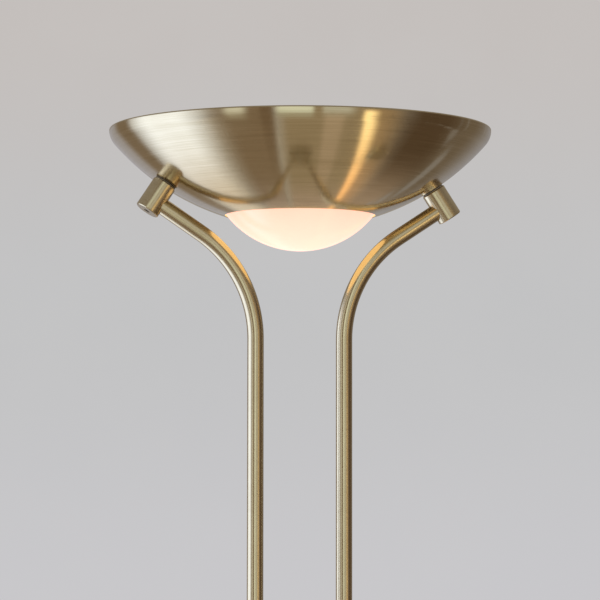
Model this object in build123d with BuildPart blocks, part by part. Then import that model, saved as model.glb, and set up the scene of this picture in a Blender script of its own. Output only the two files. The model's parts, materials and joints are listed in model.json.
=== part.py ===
from build123d import *
from math import atan2, cos, degrees, radians, sin, sqrt, tan
import os

# Torchiere floor lamp: a dished uplighter with an opal glass in its centre, carried on two
# parallel stems that flare out to it, with a jointed reading light lower down.
# Millimetres. Origin at the centre of the base on the floor, +Z up, the stems stand side by
# side along X, the dimmer knobs face -Y and the reading arm reaches out along +X.

# ---- Driving dimensions ----

overall_height = 1800.0

# Uplighter bowl: a spun dish whose meridian is one long arc from its open centre, then a small
# arc that turns it upright at the rim, where a bead is rolled inwards.
rim_r = 147.5
rim_turn_r = 14.5
rim_bead_r = 1.3
bowl_wall = 1.5
bowl_arc_r = 191.0
lip_r = 58.0
lip_drop = 66.8

# Opal glass dish that hangs through the opening and rests on the bowl by its flange.
glass_drop = 93.9
glass_wall = 3.0
glass_gap = 1.6
glass_flange_r = 67.5
glass_seat_gap = 0.25

# Turned mounts between the bowl and the stems. Each one stands square to the bowl's wall.
mount_tilt = 56.5
mount_r = 9.5
mount_length = 25.0
mount_tube_at = 15.2
mount_bore_depth = 5.6
mount_spacer_r = 8.6
mount_spacer_t = 1.0
mount_edge = 0.6
nipple_r = 5.0
nipple_bore_r = 3.4
nipple_standout = 2.0
nut_af = 14.0
nut_t = 3.0
washer_r = 9.0
washer_t = 1.0

# Stems
stem_r = 6.35
stem_wall = 1.0
stem_spacing = 70.0
stem_bend_r = 97.0
stem_end_gap = 0.5
lower_seam = 480.0
upper_seam = 940.0
stem_window_w = 7.6
stem_window_h = 24.0
joiner_length = 36.0
joiner_bore_r = 3.5

# Turned bars that tie the stems together, and the grub screws that lock them
bar_r = 9.5
bar_overhang = 15.0
bar_bore_r = 2.5
spacer_height = 480.0
bridge_height = 1180.0
grub_r = 2.5
grub_socket_af = 2.5
grub_socket_depth = 2.0
grub_recess = 0.4

# Base
base_r = 140.0
base_height = 20.0
cover_wall = 1.2
cover_shoulder_r = 5.0
cover_lift = 1.0
weight_gap = 1.0
pad_t = 2.0
pad_margin = 4.0
recess_r = 60.0
recess_depth = 11.0
channel_w = 13.0
collar_r = 11.0
collar_height = 9.0
stud_hold = 26.0
stud_reach = 5.6
foot_nut_af = 16.0
foot_nut_t = 4.0
foot_washer_r = 11.0
foot_washer_t = 1.2
grommet_r = 4.4
grommet_bore_r = 3.6
grommet_flange_r = 6.0
grommet_flange_t = 1.8
grommet_lip_t = 0.9
grommet_lip_r = 5.5
base_block_l = 24.0
base_block_w = 30.0
terminal_hole_r = 1.6

# Dimmer case
case_above_seam = 70.0
case_l = 98.0
case_h = 36.0
case_d = 34.0
case_wall = 2.2
case_corner_r = 6.0
case_edge_r = 1.5
case_window_l = 60.0
case_screw_up = 9.0
case_screw_r = 1.5
case_screw_head_r = 2.9
case_screw_length = 24.0
case_screw_cross_l = 4.0
case_screw_cross_w = 0.7
knob_spacing = 29.0
knob_r = 10.5
knob_length = 14.0
knob_gap = 1.4
knob_skirt_r = 12.0
knob_skirt_t = 2.5
knob_flutes = 24
knob_flute_r = 0.7
knob_mark_w = 1.0
knob_recess_r = 6.5
spindle_r = 3.0
spindle_grip = 10.0
pot_w = 16.5
pot_h = 17.0
pot_t = 8.0
bush_r = 3.6
bush_standout = 4.0
bush_nut_af = 10.0
bush_nut_t = 2.0
board_t = 1.6
board_margin = 1.0

# Reading light: swivel on the bridge, tilting arm, tilting head
lug_forward = 26.0
lug_t = 10.0
swivel_washer_t = 0.6
swivel_r = 9.5
swivel_height = 33.0
swivel_spigot_r = 5.0
swivel_nut_t = 4.0
fork_slot_w = 7.0
eye_t = 6.8
eye_r = 8.0
fork_ear_r = 9.5
fork_slot_below = 12.5
pin_r = 2.0
pin_head_r = 3.6
pin_head_t = 2.0
pin_edge = 0.5
arm_r = 5.0
arm_wall = 1.0
arm_length = 330.0
arm_rise = 20.0
arm_plug_r = 3.9
arm_plug_length = 14.0
neck_start = 15.0
neck_r = 6.2
arm_neck_end = 19.0
head_plug_length = 8.0
tip_fork_r = 8.5
tip_fork_back = 24.0
head_neck = 24.0
head_neck_r = 4.5
cup_r = 17.0
cup_length = 42.0
cup_wall = 1.2
cup_shoulder_r = 5.0
shade_mouth_r = 52.0
shade_depth = 38.0
shade_below_cup_top = 34.0
shade_arc_r = 62.0
shade_wall = 1.0
shade_bead_r = 1.2
diffuser_up = 6.0
diffuser_t = 3.0
diffuser_edge_r = 0.75
diffuser_gap = 0.6
diffuser_ring_w = 1.6
capsule_r = 8.0
capsule_length = 38.0
capsule_dome_r = 7.2
capsule_shoulder_r = 1.0
capsule_base_r = 3.6
capsule_base_t = 8.0
capsule_holder_r = 11.0
capsule_holder_length = 16.0

# Fittings inside the uplighter
bracket_t = 1.5
bracket_w = 20.0
bracket_foot_l = 24.0
bracket_platform_drop = 40.0
bracket_platform_half = 80.0
bracket_bend_r = 2.0
bracket_foot_gap = 0.1
lamp_length = 114.0
lamp_r = 5.0
lamp_edge_r = 1.25
lamp_cap_r = 3.9
lamp_cap_l = 9.0
lamp_pinch_l = 9.0
lamp_pinch_t = 2.6
lamp_above_bracket = 17.0
holder_t = 13.0
holder_w = 17.0
holder_h = 24.0
holder_cup_depth = 5.0
holder_cup_r = 4.4
holder_edge_r = 2.2
spring_t = 0.6
spring_w = 8.0
spring_foot_l = 10.0
lamp_lead_r = 1.8
supply_lead_r = 2.0
lead_turn_r = 5.0
lead_floor_gap = 1.2
lead_level = 9.0
lead_over_nipple = 7.2

# Clearances
running = 0.05
slip = 0.2
seat = 0.05

# ---- Derived places ----

rim_z = overall_height
case_height_at = upper_seam + case_above_seam
stem_bore_r = stem_r - stem_wall
stem_x = stem_spacing / 2
socket_r = stem_r + slip
sides = {"left": -1, "right": 1}


def crossing(first, first_r, second, second_r):
    """Where two circles cross, to the left of the way from the first centre to the second."""
    way_r, way_z = second[0] - first[0], second[1] - first[1]
    way = sqrt(way_r**2 + way_z**2)
    along = (way**2 + first_r**2 - second_r**2) / (2 * way)
    across = sqrt(first_r**2 - along**2)
    return (
        first[0] + (along * way_r - across * way_z) / way,
        first[1] + (along * way_z + across * way_r) / way,
    )


# Centres of the two arcs that the bowl's outer surface follows, and the angle below the
# horizontal at which the small one takes over from the long one.
lip_z = rim_z - lip_drop
turn_r0, turn_z0 = rim_r - rim_turn_r, rim_z - rim_bead_r
arc_r0, arc_z0 = crossing((lip_r, lip_z), bowl_arc_r, (turn_r0, turn_z0), bowl_arc_r - rim_turn_r)
turn_angle = degrees(atan2(arc_z0 - turn_z0, turn_r0 - arc_r0))
bowl_inner_r = bowl_arc_r - bowl_wall

# Foot of each mount on the bowl's outer surface, where the bowl's wall is square to the mount.
tilt = radians(mount_tilt)
foot_x = arc_r0 + bowl_arc_r * cos(tilt)
foot_z = arc_z0 - bowl_arc_r * sin(tilt)
mount_start = seat + mount_spacer_t
mount_end = mount_start + mount_length
tube_at = mount_start + mount_tube_at
socket_x = foot_x + tube_at * cos(tilt)
socket_z = foot_z - tube_at * sin(tilt)
# Corner where the slanting and the upright runs of a stem's centre line would meet.
corner_z = socket_z - (socket_x - stem_x) / tan(tilt)

cover_top = base_height
weight_top = base_height - cover_wall
weight_r = base_r - cover_shoulder_r - weight_gap
recess_top = pad_t + recess_depth
stem_foot = cover_top

base_up = (Align.CENTER, Align.CENTER, Align.MIN)


def arc_z(radius, r):
    """Height at r of the circle of this radius about the bowl arc's centre."""
    return arc_z0 - sqrt(radius**2 - (r - arc_r0) ** 2)


def mount_plane(side):
    """Origin at a mount's foot on the bowl, z out along the mount, x down its stem."""
    return Plane(
        origin=(side * foot_x, 0, foot_z),
        x_dir=(-side * sin(tilt), 0, -cos(tilt)),
        z_dir=(side * cos(tilt), 0, -sin(tilt)),
    )


def bar_end(side, height):
    """Plane on the end of a tie bar, z outwards."""
    return Plane(
        origin=(side * (stem_x + bar_overhang), 0, height), x_dir=(0, 1, 0), z_dir=(side, 0, 0)
    )


def rod(plane, start, length, radius, mode=Mode.ADD):
    """Cylinder along a plane's normal."""
    with Locations(plane.offset(start)):
        Cylinder(radius, length, align=base_up, mode=mode)


def finish(piece, label):
    """Names a finished piece and writes it."""
    piece.part.label = label
    export_step(piece.part, f"parts/{label}.step")


def turned(planes, start, length, radius, bore=0.0):
    """Plain or bored cylinders, one on each plane."""
    with BuildPart() as piece:
        for plane in planes:
            rod(plane, start, length, radius)
            if bore:
                rod(plane, start, length, bore, Mode.SUBTRACT)
    return piece


def hex_nuts(planes, start, thickness, across_flats, bore):
    """Hexagon nuts, one on each plane."""
    with BuildPart() as piece:
        for plane in planes:
            with BuildSketch(plane.offset(start)):
                RegularPolygon(across_flats / 2, 6, major_radius=False)
                Circle(bore, mode=Mode.SUBTRACT)
            extrude(amount=thickness)
    return piece


def grub_screws(planes, length):
    """Socket set screws whose outer ends lie just below each plane."""
    with BuildPart() as piece:
        for plane in planes:
            with BuildSketch(plane.offset(-grub_recess)):
                Circle(grub_r)
            extrude(amount=-length)
            with BuildSketch(plane.offset(-grub_recess)):
                RegularPolygon(grub_socket_af / 2, 6, major_radius=False)
            extrude(amount=-grub_socket_depth, mode=Mode.SUBTRACT)
    return piece


def pivot_pin(plane, grip):
    """Headed pin across a fork, centred on the plane."""
    with BuildPart() as piece:
        rod(plane, -grip / 2, grip, pin_r)
        rod(plane, -grip / 2 - pin_head_t, pin_head_t, pin_head_r)
        chamfer(piece.faces().sort_by(Axis(plane.origin, plane.z_dir))[0].edges(), pin_edge)
    return piece


os.makedirs("parts", exist_ok=True)

# ---- Base ----

with BuildPart() as base_cover:
    with BuildSketch(Plane.XZ) as cover_outline:
        with BuildLine():
            Line((0, cover_top), (base_r - cover_shoulder_r, cover_top))
            CenterArc(
                (base_r - cover_shoulder_r, cover_top - cover_shoulder_r), cover_shoulder_r, 90, -90
            )
            Line((base_r, cover_top - cover_shoulder_r), (base_r, cover_lift))
            Line((base_r, cover_lift), (base_r - cover_wall, cover_lift))
            Line((base_r - cover_wall, cover_lift), (base_r - cover_wall, cover_top - cover_shoulder_r))
            CenterArc(
                (base_r - cover_shoulder_r, cover_top - cover_shoulder_r),
                cover_shoulder_r - cover_wall,
                0,
                90,
            )
            Line((base_r - cover_shoulder_r, weight_top), (0, weight_top))
            Line((0, weight_top), (0, cover_top))
        make_face()
    revolve(axis=Axis.Z)
    for side in sides.values():
        with Locations((side * stem_x, 0, weight_top)):
            Cylinder(stem_bore_r + slip, cover_wall, align=base_up, mode=Mode.SUBTRACT)
    grommet_z = cover_lift + (base_height - cover_shoulder_r - cover_lift) / 2
    rod(
        Plane(origin=(0, weight_r, grommet_z), x_dir=(1, 0, 0), z_dir=(0, 1, 0)),
        0,
        base_r,
        grommet_r + seat,
        Mode.SUBTRACT,
    )
finish(base_cover, "base_cover")

with BuildPart() as base_weight:
    with Locations((0, 0, pad_t)):
        Cylinder(weight_r, weight_top - pad_t, align=base_up)
        Cylinder(recess_r, recess_depth, align=base_up, mode=Mode.SUBTRACT)
        Box(
            channel_w,
            base_r,
            recess_depth,
            align=(Align.CENTER, Align.MIN, Align.MIN),
            mode=Mode.SUBTRACT,
        )
    for side in sides.values():
        with Locations((side * stem_x, 0, recess_top)):
            Cylinder(stem_bore_r + slip, weight_top - recess_top, align=base_up, mode=Mode.SUBTRACT)
finish(base_weight, "base_weight")

with BuildPart() as base_pad:
    Cylinder(weight_r - pad_margin, pad_t, align=base_up)
finish(base_pad, "base_pad")

stem_feet = [Plane(origin=(side * stem_x, 0, 0)) for side in sides.values()]
finish(turned(stem_feet, cover_top, collar_height, collar_r, socket_r), "stem_collars")
stud_bottom = recess_top - stud_reach
stud_top = cover_top + stud_hold
finish(
    turned(stem_feet, stud_bottom, stud_top - stud_bottom, stem_bore_r - running, joiner_bore_r),
    "stem_foot_studs",
)
finish(
    turned(stem_feet, recess_top - foot_washer_t, foot_washer_t, foot_washer_r, stem_bore_r),
    "stem_foot_washers",
)
finish(
    hex_nuts(stem_feet, recess_top - foot_washer_t - foot_nut_t, foot_nut_t, foot_nut_af, stem_bore_r),
    "stem_foot_nuts",
)

with BuildPart() as cord_grommet:
    # Flat flanges either side of the cover's round wall, clear of its curve.
    bore_plane = Plane(origin=(0, base_r, grommet_z), x_dir=(1, 0, 0), z_dir=(0, 1, 0))
    lip_front = -cover_wall - grommet_flange_r**2 / (2 * base_r) - seat
    rod(bore_plane, seat, grommet_flange_t, grommet_flange_r)
    rod(bore_plane, lip_front, seat - lip_front, grommet_r)
    rod(bore_plane, lip_front - grommet_lip_t, grommet_lip_t, grommet_lip_r)
    grommet_length = grommet_lip_t - lip_front + seat + grommet_flange_t
    rod(bore_plane, lip_front - grommet_lip_t, grommet_length, grommet_bore_r, Mode.SUBTRACT)
finish(cord_grommet, "cord_grommet")

# ---- Stems ----


def straight_stem(side, low, high):
    return turned([Plane(origin=(side * stem_x, 0, 0))], low, high - low, stem_r, stem_bore_r)


def upper_stem(side):
    """Upright run, bend and slanting run into the mount, with a way out for its lead at each end."""
    plane = mount_plane(side)
    start = plane.from_local_coords(Vector(-mount_bore_depth + stem_end_gap, 0, tube_at))
    with BuildPart() as piece:
        with BuildLine(Plane.XY) as route:
            FilletPolyline(
                start,
                (side * stem_x, 0, corner_z),
                (side * stem_x, 0, upper_seam),
                radius=stem_bend_r,
            )
        with BuildSketch(Plane(origin=start, x_dir=(0, 1, 0), z_dir=plane.x_dir)):
            Circle(stem_r)
            Circle(stem_bore_r, mode=Mode.SUBTRACT)
        sweep(path=route.wires()[0])
        rod(plane, tube_at - stem_r - slip, stem_r, nipple_bore_r + slip, Mode.SUBTRACT)
        with Locations((side * (stem_x - stem_r), 0, case_height_at)):
            Box(2 * stem_r, stem_window_w, stem_window_h, mode=Mode.SUBTRACT)
    return piece


for name, side in sides.items():
    finish(straight_stem(side, stem_foot, lower_seam), f"lower_stem_{name}")
    finish(straight_stem(side, lower_seam, upper_seam), f"middle_stem_{name}")
    finish(upper_stem(side), f"upper_stem_{name}")

joiner_planes = [
    Plane(origin=(side * stem_x, 0, seam)) for side in sides.values() for seam in (lower_seam, upper_seam)
]
finish(
    turned(joiner_planes, -joiner_length / 2, joiner_length, stem_bore_r - running, joiner_bore_r),
    "stem_joiners",
)

# ---- Tie bars ----


def tie_bar(height):
    """Turned bar with a bore for each stem and a tapped hole right through its length."""
    with BuildPart() as piece:
        for side in sides.values():
            rod(bar_end(side, height), -stem_x - bar_overhang, stem_x + bar_overhang, bar_r)
        chamfer(piece.edges().filter_by(GeomType.CIRCLE).filter_by(Plane.YZ), mount_edge)
        for side in sides.values():
            end = bar_end(side, height)
            rod(end, -stem_x - bar_overhang, stem_x + bar_overhang, bar_bore_r, Mode.SUBTRACT)
            with Locations((side * stem_x, 0, height)):
                Cylinder(socket_r, 2 * bar_r, mode=Mode.SUBTRACT)
    return piece


finish(tie_bar(spacer_height), "stem_spacer")

lug = Plane(origin=(0, -lug_forward, bridge_height))
bridge_bar = tie_bar(bridge_height)
with BuildPart() as reader_bridge:
    add(bridge_bar.part)
    with BuildSketch(Plane.XY.offset(bridge_height - lug_t / 2)):
        with Locations((0, -lug_forward)):
            Circle(swivel_r)
        with Locations((0, -lug_forward / 2)):
            Rectangle(2 * swivel_r, lug_forward)
    extrude(amount=lug_t)
    rod(bar_end(1, bridge_height), -stem_x - bar_overhang - bar_r, 2 * bar_r, bar_bore_r, Mode.SUBTRACT)
    rod(lug, -lug_t / 2, lug_t, swivel_spigot_r + running, Mode.SUBTRACT)
finish(reader_bridge, "reader_bridge")

bar_ends = [bar_end(side, height) for side in sides.values() for height in (spacer_height, bridge_height)]
finish(grub_screws(bar_ends, bar_overhang - socket_r + slip - grub_recess - seat), "bar_grub_screws")

# ---- Bowl mounts ----

mount_planes = {name: mount_plane(side) for name, side in sides.items()}
for name, plane in mount_planes.items():
    with BuildPart() as bowl_mount:
        rod(plane, mount_start, mount_length, mount_r)
        chamfer(bowl_mount.edges().filter_by(GeomType.CIRCLE), mount_edge)
        socket = Plane(
            origin=plane.from_local_coords(Vector(-mount_bore_depth, 0, tube_at)),
            x_dir=(0, 1, 0),
            z_dir=plane.x_dir,
        )
        rod(socket, 0, mount_bore_depth + mount_r, socket_r, Mode.SUBTRACT)
        rod(plane, mount_start, mount_tube_at, nipple_r, Mode.SUBTRACT)
        rod(plane, tube_at, mount_end - tube_at, grub_r, Mode.SUBTRACT)
    finish(bowl_mount, f"{name}_bowl_mount")

mount_ends = [plane.offset(mount_end) for plane in mount_planes.values()]
finish(grub_screws(mount_ends, mount_end - tube_at - stem_r - grub_recess - seat), "mount_grub_screws")
finish(
    turned(mount_planes.values(), seat, mount_spacer_t, mount_spacer_r, nipple_r + slip), "mount_spacers"
)

# The bracket's flat foot stands off the bowl by the depth of the curve under its corners.
foot_lift = (
    bracket_foot_gap
    + (bracket_foot_l / 2) ** 2 / (2 * bowl_inner_r)
    + (bracket_w / 2) ** 2 / (2 * foot_x / cos(tilt))
)
foot_under = -bowl_wall - foot_lift
foot_over = foot_under - bracket_t
nipple_foot = tube_at - socket_r - seat
nipple_top = foot_over - washer_t - nut_t - nipple_standout
finish(
    turned(mount_planes.values(), nipple_top, nipple_foot - nipple_top, nipple_r - seat, nipple_bore_r),
    "mount_nipples",
)
finish(turned(mount_planes.values(), foot_over - washer_t, washer_t, washer_r, nipple_r), "mount_washers")
finish(
    hex_nuts(mount_planes.values(), foot_over - washer_t - nut_t, nut_t, nut_af, nipple_r), "mount_nuts"
)

# ---- Uplighter ----


def lip_angle(radius, r):
    """Polar angle about the bowl arc's centre at which a circle of this radius reaches r."""
    return degrees(atan2(arc_z(radius, r) - arc_z0, r - arc_r0))


with BuildPart() as uplighter_bowl:
    with BuildSketch(Plane.XZ):
        with BuildLine():
            outer_start = lip_angle(bowl_arc_r, lip_r)
            inner_start = lip_angle(bowl_inner_r, lip_r)
            outer = CenterArc((arc_r0, arc_z0), bowl_arc_r, outer_start, -turn_angle - outer_start)
            inner = CenterArc((arc_r0, arc_z0), bowl_inner_r, inner_start, -turn_angle - inner_start)
            outer_turn = CenterArc((turn_r0, turn_z0), rim_turn_r, -turn_angle, turn_angle)
            inner_turn = CenterArc((turn_r0, turn_z0), rim_turn_r - bowl_wall, -turn_angle, turn_angle)
            Line(outer @ 0, inner @ 0)
            Line(outer_turn @ 1, inner_turn @ 1)
        make_face()
        with Locations((rim_r - rim_bead_r, rim_z - rim_bead_r)):
            Circle(rim_bead_r)
    revolve(axis=Axis.Z)
    for plane in mount_planes.values():
        rod(plane, -3 * bowl_wall, 5 * bowl_wall, nipple_r + slip, Mode.SUBTRACT)
finish(uplighter_bowl, "uplighter_bowl")

# The glass's sphere passes its lowest point and clears the lip by the glass gap.
glass_depth = glass_drop - lip_drop
glass_lip_r = lip_r - glass_gap
glass_r = (glass_lip_r**2 + glass_depth**2) / (2 * glass_depth)
glass_z0 = rim_z - glass_drop + glass_r
flange_under_r = bowl_inner_r - glass_seat_gap
flange_over_r = flange_under_r - glass_wall

with BuildPart() as uplighter_glass:
    with BuildSketch(Plane.XZ):
        with BuildLine():
            under = crossing((arc_r0, arc_z0), flange_under_r, (0, glass_z0), glass_r)
            over = crossing((arc_r0, arc_z0), flange_over_r, (0, glass_z0), glass_r - glass_wall)
            low = degrees(atan2(under[1] - glass_z0, under[0]))
            high = degrees(atan2(over[1] - glass_z0, over[0]))
            CenterArc((0, glass_z0), glass_r, -90, low + 90)
            CenterArc((0, glass_z0), glass_r - glass_wall, -90, high + 90)
            start_under = lip_angle(flange_under_r, under[0])
            start_over = lip_angle(flange_over_r, over[0])
            end_under = lip_angle(flange_under_r, glass_flange_r)
            under_arc = CenterArc((arc_r0, arc_z0), flange_under_r, start_under, end_under - start_under)
            over_arc = CenterArc((arc_r0, arc_z0), flange_over_r, start_over, end_under - start_over)
            Line(under_arc @ 1, over_arc @ 1)
            Line((0, glass_z0 - glass_r), (0, glass_z0 - glass_r + glass_wall))
        make_face()
    revolve(axis=Axis.Z)
finish(uplighter_glass, "uplighter_glass")

# Bent strip that spans the bowl between the two nipples and carries the lamp.
platform_z = rim_z - bracket_platform_drop
foot_mid = {name: plane.offset(foot_under) for name, plane in mount_planes.items()}
foot_low = foot_mid["right"].from_local_coords(Vector(bracket_foot_l / 2, 0, 0))
foot_high = foot_mid["right"].from_local_coords(Vector(-bracket_foot_l / 2, 0, 0))

with BuildPart() as lamp_bracket:
    with BuildSketch(Plane.XZ):
        with BuildLine() as strip:
            platform_end = (bracket_platform_half, platform_z)
            half = [(foot_high.X, foot_high.Z), (foot_low.X, foot_low.Z), platform_end]
            mirrored = [(-x, z) for x, z in reversed(half)]
            FilletPolyline(*half, *mirrored, radius=bracket_bend_r)
            offset(amount=bracket_t, side=Side.RIGHT)
        make_face()
    extrude(amount=bracket_w / 2, both=True)
    for plane in mount_planes.values():
        rod(plane, foot_over - bracket_t, 3 * bracket_t, nipple_r + slip, Mode.SUBTRACT)
finish(lamp_bracket, "lamp_bracket")

spring_tip_x = glass_flange_r - spring_foot_l / 2
spring_tip_z = arc_z(flange_over_r, spring_tip_x + spring_t) + glass_seat_gap
spring_knee_x = spring_tip_x + spring_t
with BuildPart() as glass_springs:
    for side in sides.values():
        with BuildSketch(Plane.XZ):
            with BuildLine():
                Polyline(
                    (side * (spring_knee_x + spring_foot_l), platform_z),
                    (side * spring_knee_x, platform_z),
                    (side * spring_tip_x, spring_tip_z),
                )
                offset(amount=spring_t, side=Side.LEFT if side > 0 else Side.RIGHT)
            make_face()
        extrude(amount=spring_w / 2, both=True)
finish(glass_springs, "glass_springs")

lamp_z = platform_z + bracket_t + lamp_above_bracket
lamp_ends = [
    Plane(origin=(side * lamp_length / 2, 0, lamp_z), z_dir=(side, 0, 0)) for side in sides.values()
]
holder_face = lamp_length / 2 - holder_cup_depth
holder_x = holder_face + holder_t / 2
with BuildPart() as lampholders:
    for side in sides.values():
        with Locations((side * holder_x, 0, platform_z + bracket_t)):
            Box(holder_t, holder_w, holder_h, align=base_up)
    fillet(lampholders.edges().filter_by(Axis.X).group_by(Axis.Z)[-1], holder_edge_r)
    for end in lamp_ends:
        rod(end, -holder_cup_depth, holder_cup_depth + seat, holder_cup_r, Mode.SUBTRACT)
finish(lampholders, "lampholders")

with BuildPart() as linear_lamp:
    tube_half = lamp_length / 2 - lamp_cap_l - lamp_pinch_l
    with Locations((0, 0, lamp_z)):
        Cylinder(lamp_r, 2 * tube_half, rotation=(0, 90, 0))
        Box(2 * (tube_half + lamp_pinch_l), 2 * lamp_cap_r, lamp_pinch_t)
    fillet(linear_lamp.edges().filter_by(GeomType.CIRCLE), lamp_edge_r)
    for end in lamp_ends:
        rod(end, -lamp_cap_l, lamp_cap_l, lamp_cap_r)
finish(linear_lamp, "linear_lamp")


def lead(points, radii, radius):
    """Insulated lead laid along straight runs joined by arcs."""
    first, second = Vector(points[0]), Vector(points[1])
    with BuildPart() as piece:
        with BuildLine() as route:
            FilletPolyline(*points, radius=radii)
        with BuildSketch(Plane(origin=first, z_dir=second - first)):
            Circle(radius)
        sweep(path=route.wires()[0])
    return piece


with BuildPart() as lamp_leads:
    for side in sides.values():
        plane = mount_plane(side)
        over_nipple = plane.from_local_coords(Vector(0, 0, nipple_top - lead_over_nipple))
        piece = lead(
            [
                (side * base_block_l / 2, 0, case_height_at + lead_level),
                (side * stem_x, 0, case_height_at + lead_level),
                (side * stem_x, 0, corner_z),
                (side * socket_x, 0, socket_z),
                over_nipple,
                (side * (holder_face + holder_t), 0, over_nipple.Z),
            ],
            [lead_turn_r, stem_bend_r, lead_turn_r, 2 * lead_turn_r],
            lamp_lead_r,
        )
        add(piece.part)
finish(lamp_leads, "lamp_leads")

supply_low = pad_t + lead_floor_gap + supply_lead_r
supply_high = case_height_at - lead_level
finish(
    lead(
        [
            (base_block_l / 2, 0, supply_low),
            (stem_x, 0, supply_low),
            (stem_x, 0, supply_high),
            (base_block_l / 2, 0, supply_high),
        ],
        2 * supply_lead_r,
        supply_lead_r,
    ),
    "supply_lead",
)

# ---- Dimmer case ----

case_mid = Plane(origin=(0, 0, case_height_at), x_dir=(1, 0, 0), z_dir=(0, -1, 0))
screw_x = (stem_x + socket_r + case_l / 2) / 2
screw_places = [(x, z) for x in (-screw_x, screw_x) for z in (-case_screw_up, case_screw_up)]
knob_places = {name: side * knob_spacing / 2 for name, side in sides.items()}
case_inside = case_d / 2 - case_wall


def case_shell(front):
    """Half of the case; the front half has the dimmer bushes, the rear half the screw heads."""
    way = 1 if front else -1
    with BuildPart() as piece:
        with BuildSketch(case_mid):
            RectangleRounded(case_l, case_h, case_corner_r)
        extrude(amount=way * case_d / 2)
        outer_face = piece.faces().filter_by(Plane.XZ).sort_by(Axis.Y)[0 if front else -1]
        fillet(outer_face.edges(), case_edge_r)
        with BuildSketch(case_mid):
            Rectangle(case_window_l, case_h - 2 * case_wall)
        extrude(amount=way * case_inside, mode=Mode.SUBTRACT)
        for side in sides.values():
            with Locations((side * stem_x, 0, case_height_at)):
                Cylinder(socket_r, case_h, mode=Mode.SUBTRACT)
        if front:
            with BuildSketch(case_mid):
                with Locations(*screw_places):
                    Circle(case_screw_r)
            extrude(amount=case_screw_length - case_d / 2 + case_wall, mode=Mode.SUBTRACT)
            with BuildSketch(case_mid):
                with Locations(*[(x, 0) for x in knob_places.values()]):
                    Circle(bush_r + seat)
            extrude(amount=case_d, mode=Mode.SUBTRACT)
        else:
            with BuildSketch(case_mid):
                with Locations(*screw_places):
                    Circle(case_screw_r + slip)
            extrude(amount=-case_d, mode=Mode.SUBTRACT)
            with BuildSketch(case_mid.offset(-case_d / 2)):
                with Locations(*screw_places):
                    Circle(case_screw_head_r + slip)
            extrude(amount=case_wall, mode=Mode.SUBTRACT)
    return piece


finish(case_shell(True), "dimmer_front_case")
finish(case_shell(False), "dimmer_rear_case")

with BuildPart() as dimmer_case_screws:
    with BuildSketch(case_mid.offset(-case_d / 2 + seat)):
        with Locations(*screw_places):
            Circle(case_screw_head_r)
    extrude(amount=case_wall - seat)
    with BuildSketch(case_mid.offset(-case_d / 2 + seat)):
        with Locations(*screw_places):
            Circle(case_screw_r)
    extrude(amount=case_screw_length)
    with BuildSketch(case_mid.offset(-case_d / 2 + seat)):
        with Locations(*screw_places):
            Rectangle(case_screw_cross_l, case_screw_cross_w)
            Rectangle(case_screw_cross_w, case_screw_cross_l)
    extrude(amount=case_wall / 2, mode=Mode.SUBTRACT)
finish(dimmer_case_screws, "dimmer_case_screws")

with BuildPart() as dimmer_pots:
    with BuildSketch(case_mid.offset(case_inside)):
        with Locations(*[(x, 0) for x in knob_places.values()]):
            Rectangle(pot_w, pot_h)
    extrude(amount=-pot_t)
    with BuildSketch(case_mid.offset(case_inside)):
        with Locations(*[(x, 0) for x in knob_places.values()]):
            Circle(bush_r)
    extrude(amount=case_wall + bush_standout)
    with BuildSketch(case_mid.offset(case_inside - pot_t / 2)):
        with Locations(*[(x, 0) for x in knob_places.values()]):
            Circle(spindle_r + running)
    extrude(amount=case_d, mode=Mode.SUBTRACT)
finish(dimmer_pots, "dimmer_pots")

with BuildPart() as dimmer_board:
    with BuildSketch(case_mid.offset(case_inside - pot_t)):
        Rectangle(case_window_l - 2 * board_margin, case_h - 2 * case_wall - 2 * board_margin)
        with Locations(*[(side * stem_x, 0) for side in sides.values()]):
            Rectangle(2 * socket_r + 2 * board_margin, case_h, mode=Mode.SUBTRACT)
    extrude(amount=-board_t)
finish(dimmer_board, "dimmer_board")

with BuildPart() as terminal_blocks:
    # The same block hangs under the base's recess and backs the dimmer board.
    with Locations((0, 0, recess_top)):
        Box(base_block_l, base_block_w, recess_depth - seat, align=(Align.CENTER, Align.CENTER, Align.MAX))
    with Locations((0, board_t + pot_t - case_inside, case_height_at)):
        Box(base_block_l, recess_depth - seat, base_block_w, align=(Align.CENTER, Align.MIN, Align.CENTER))
    low_face = terminal_blocks.faces().sort_by(Axis.Z)[0]
    back_face = terminal_blocks.faces().sort_by(Axis.Y)[-1]
    for face in (low_face, back_face):
        with BuildSketch(Plane(face)):
            with GridLocations(base_block_l / 2, base_block_w / 3, 2, 3):
                Circle(terminal_hole_r)
        extrude(amount=-recess_depth / 2, mode=Mode.SUBTRACT)
finish(terminal_blocks, "terminal_blocks")

with BuildPart() as dimmer_bush_nuts:
    with BuildSketch(case_mid.offset(case_d / 2)):
        with Locations(*[(x, 0) for x in knob_places.values()]):
            RegularPolygon(bush_nut_af / 2, 6, major_radius=False)
            Circle(bush_r, mode=Mode.SUBTRACT)
    extrude(amount=bush_nut_t)
finish(dimmer_bush_nuts, "dimmer_bush_nuts")

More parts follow.
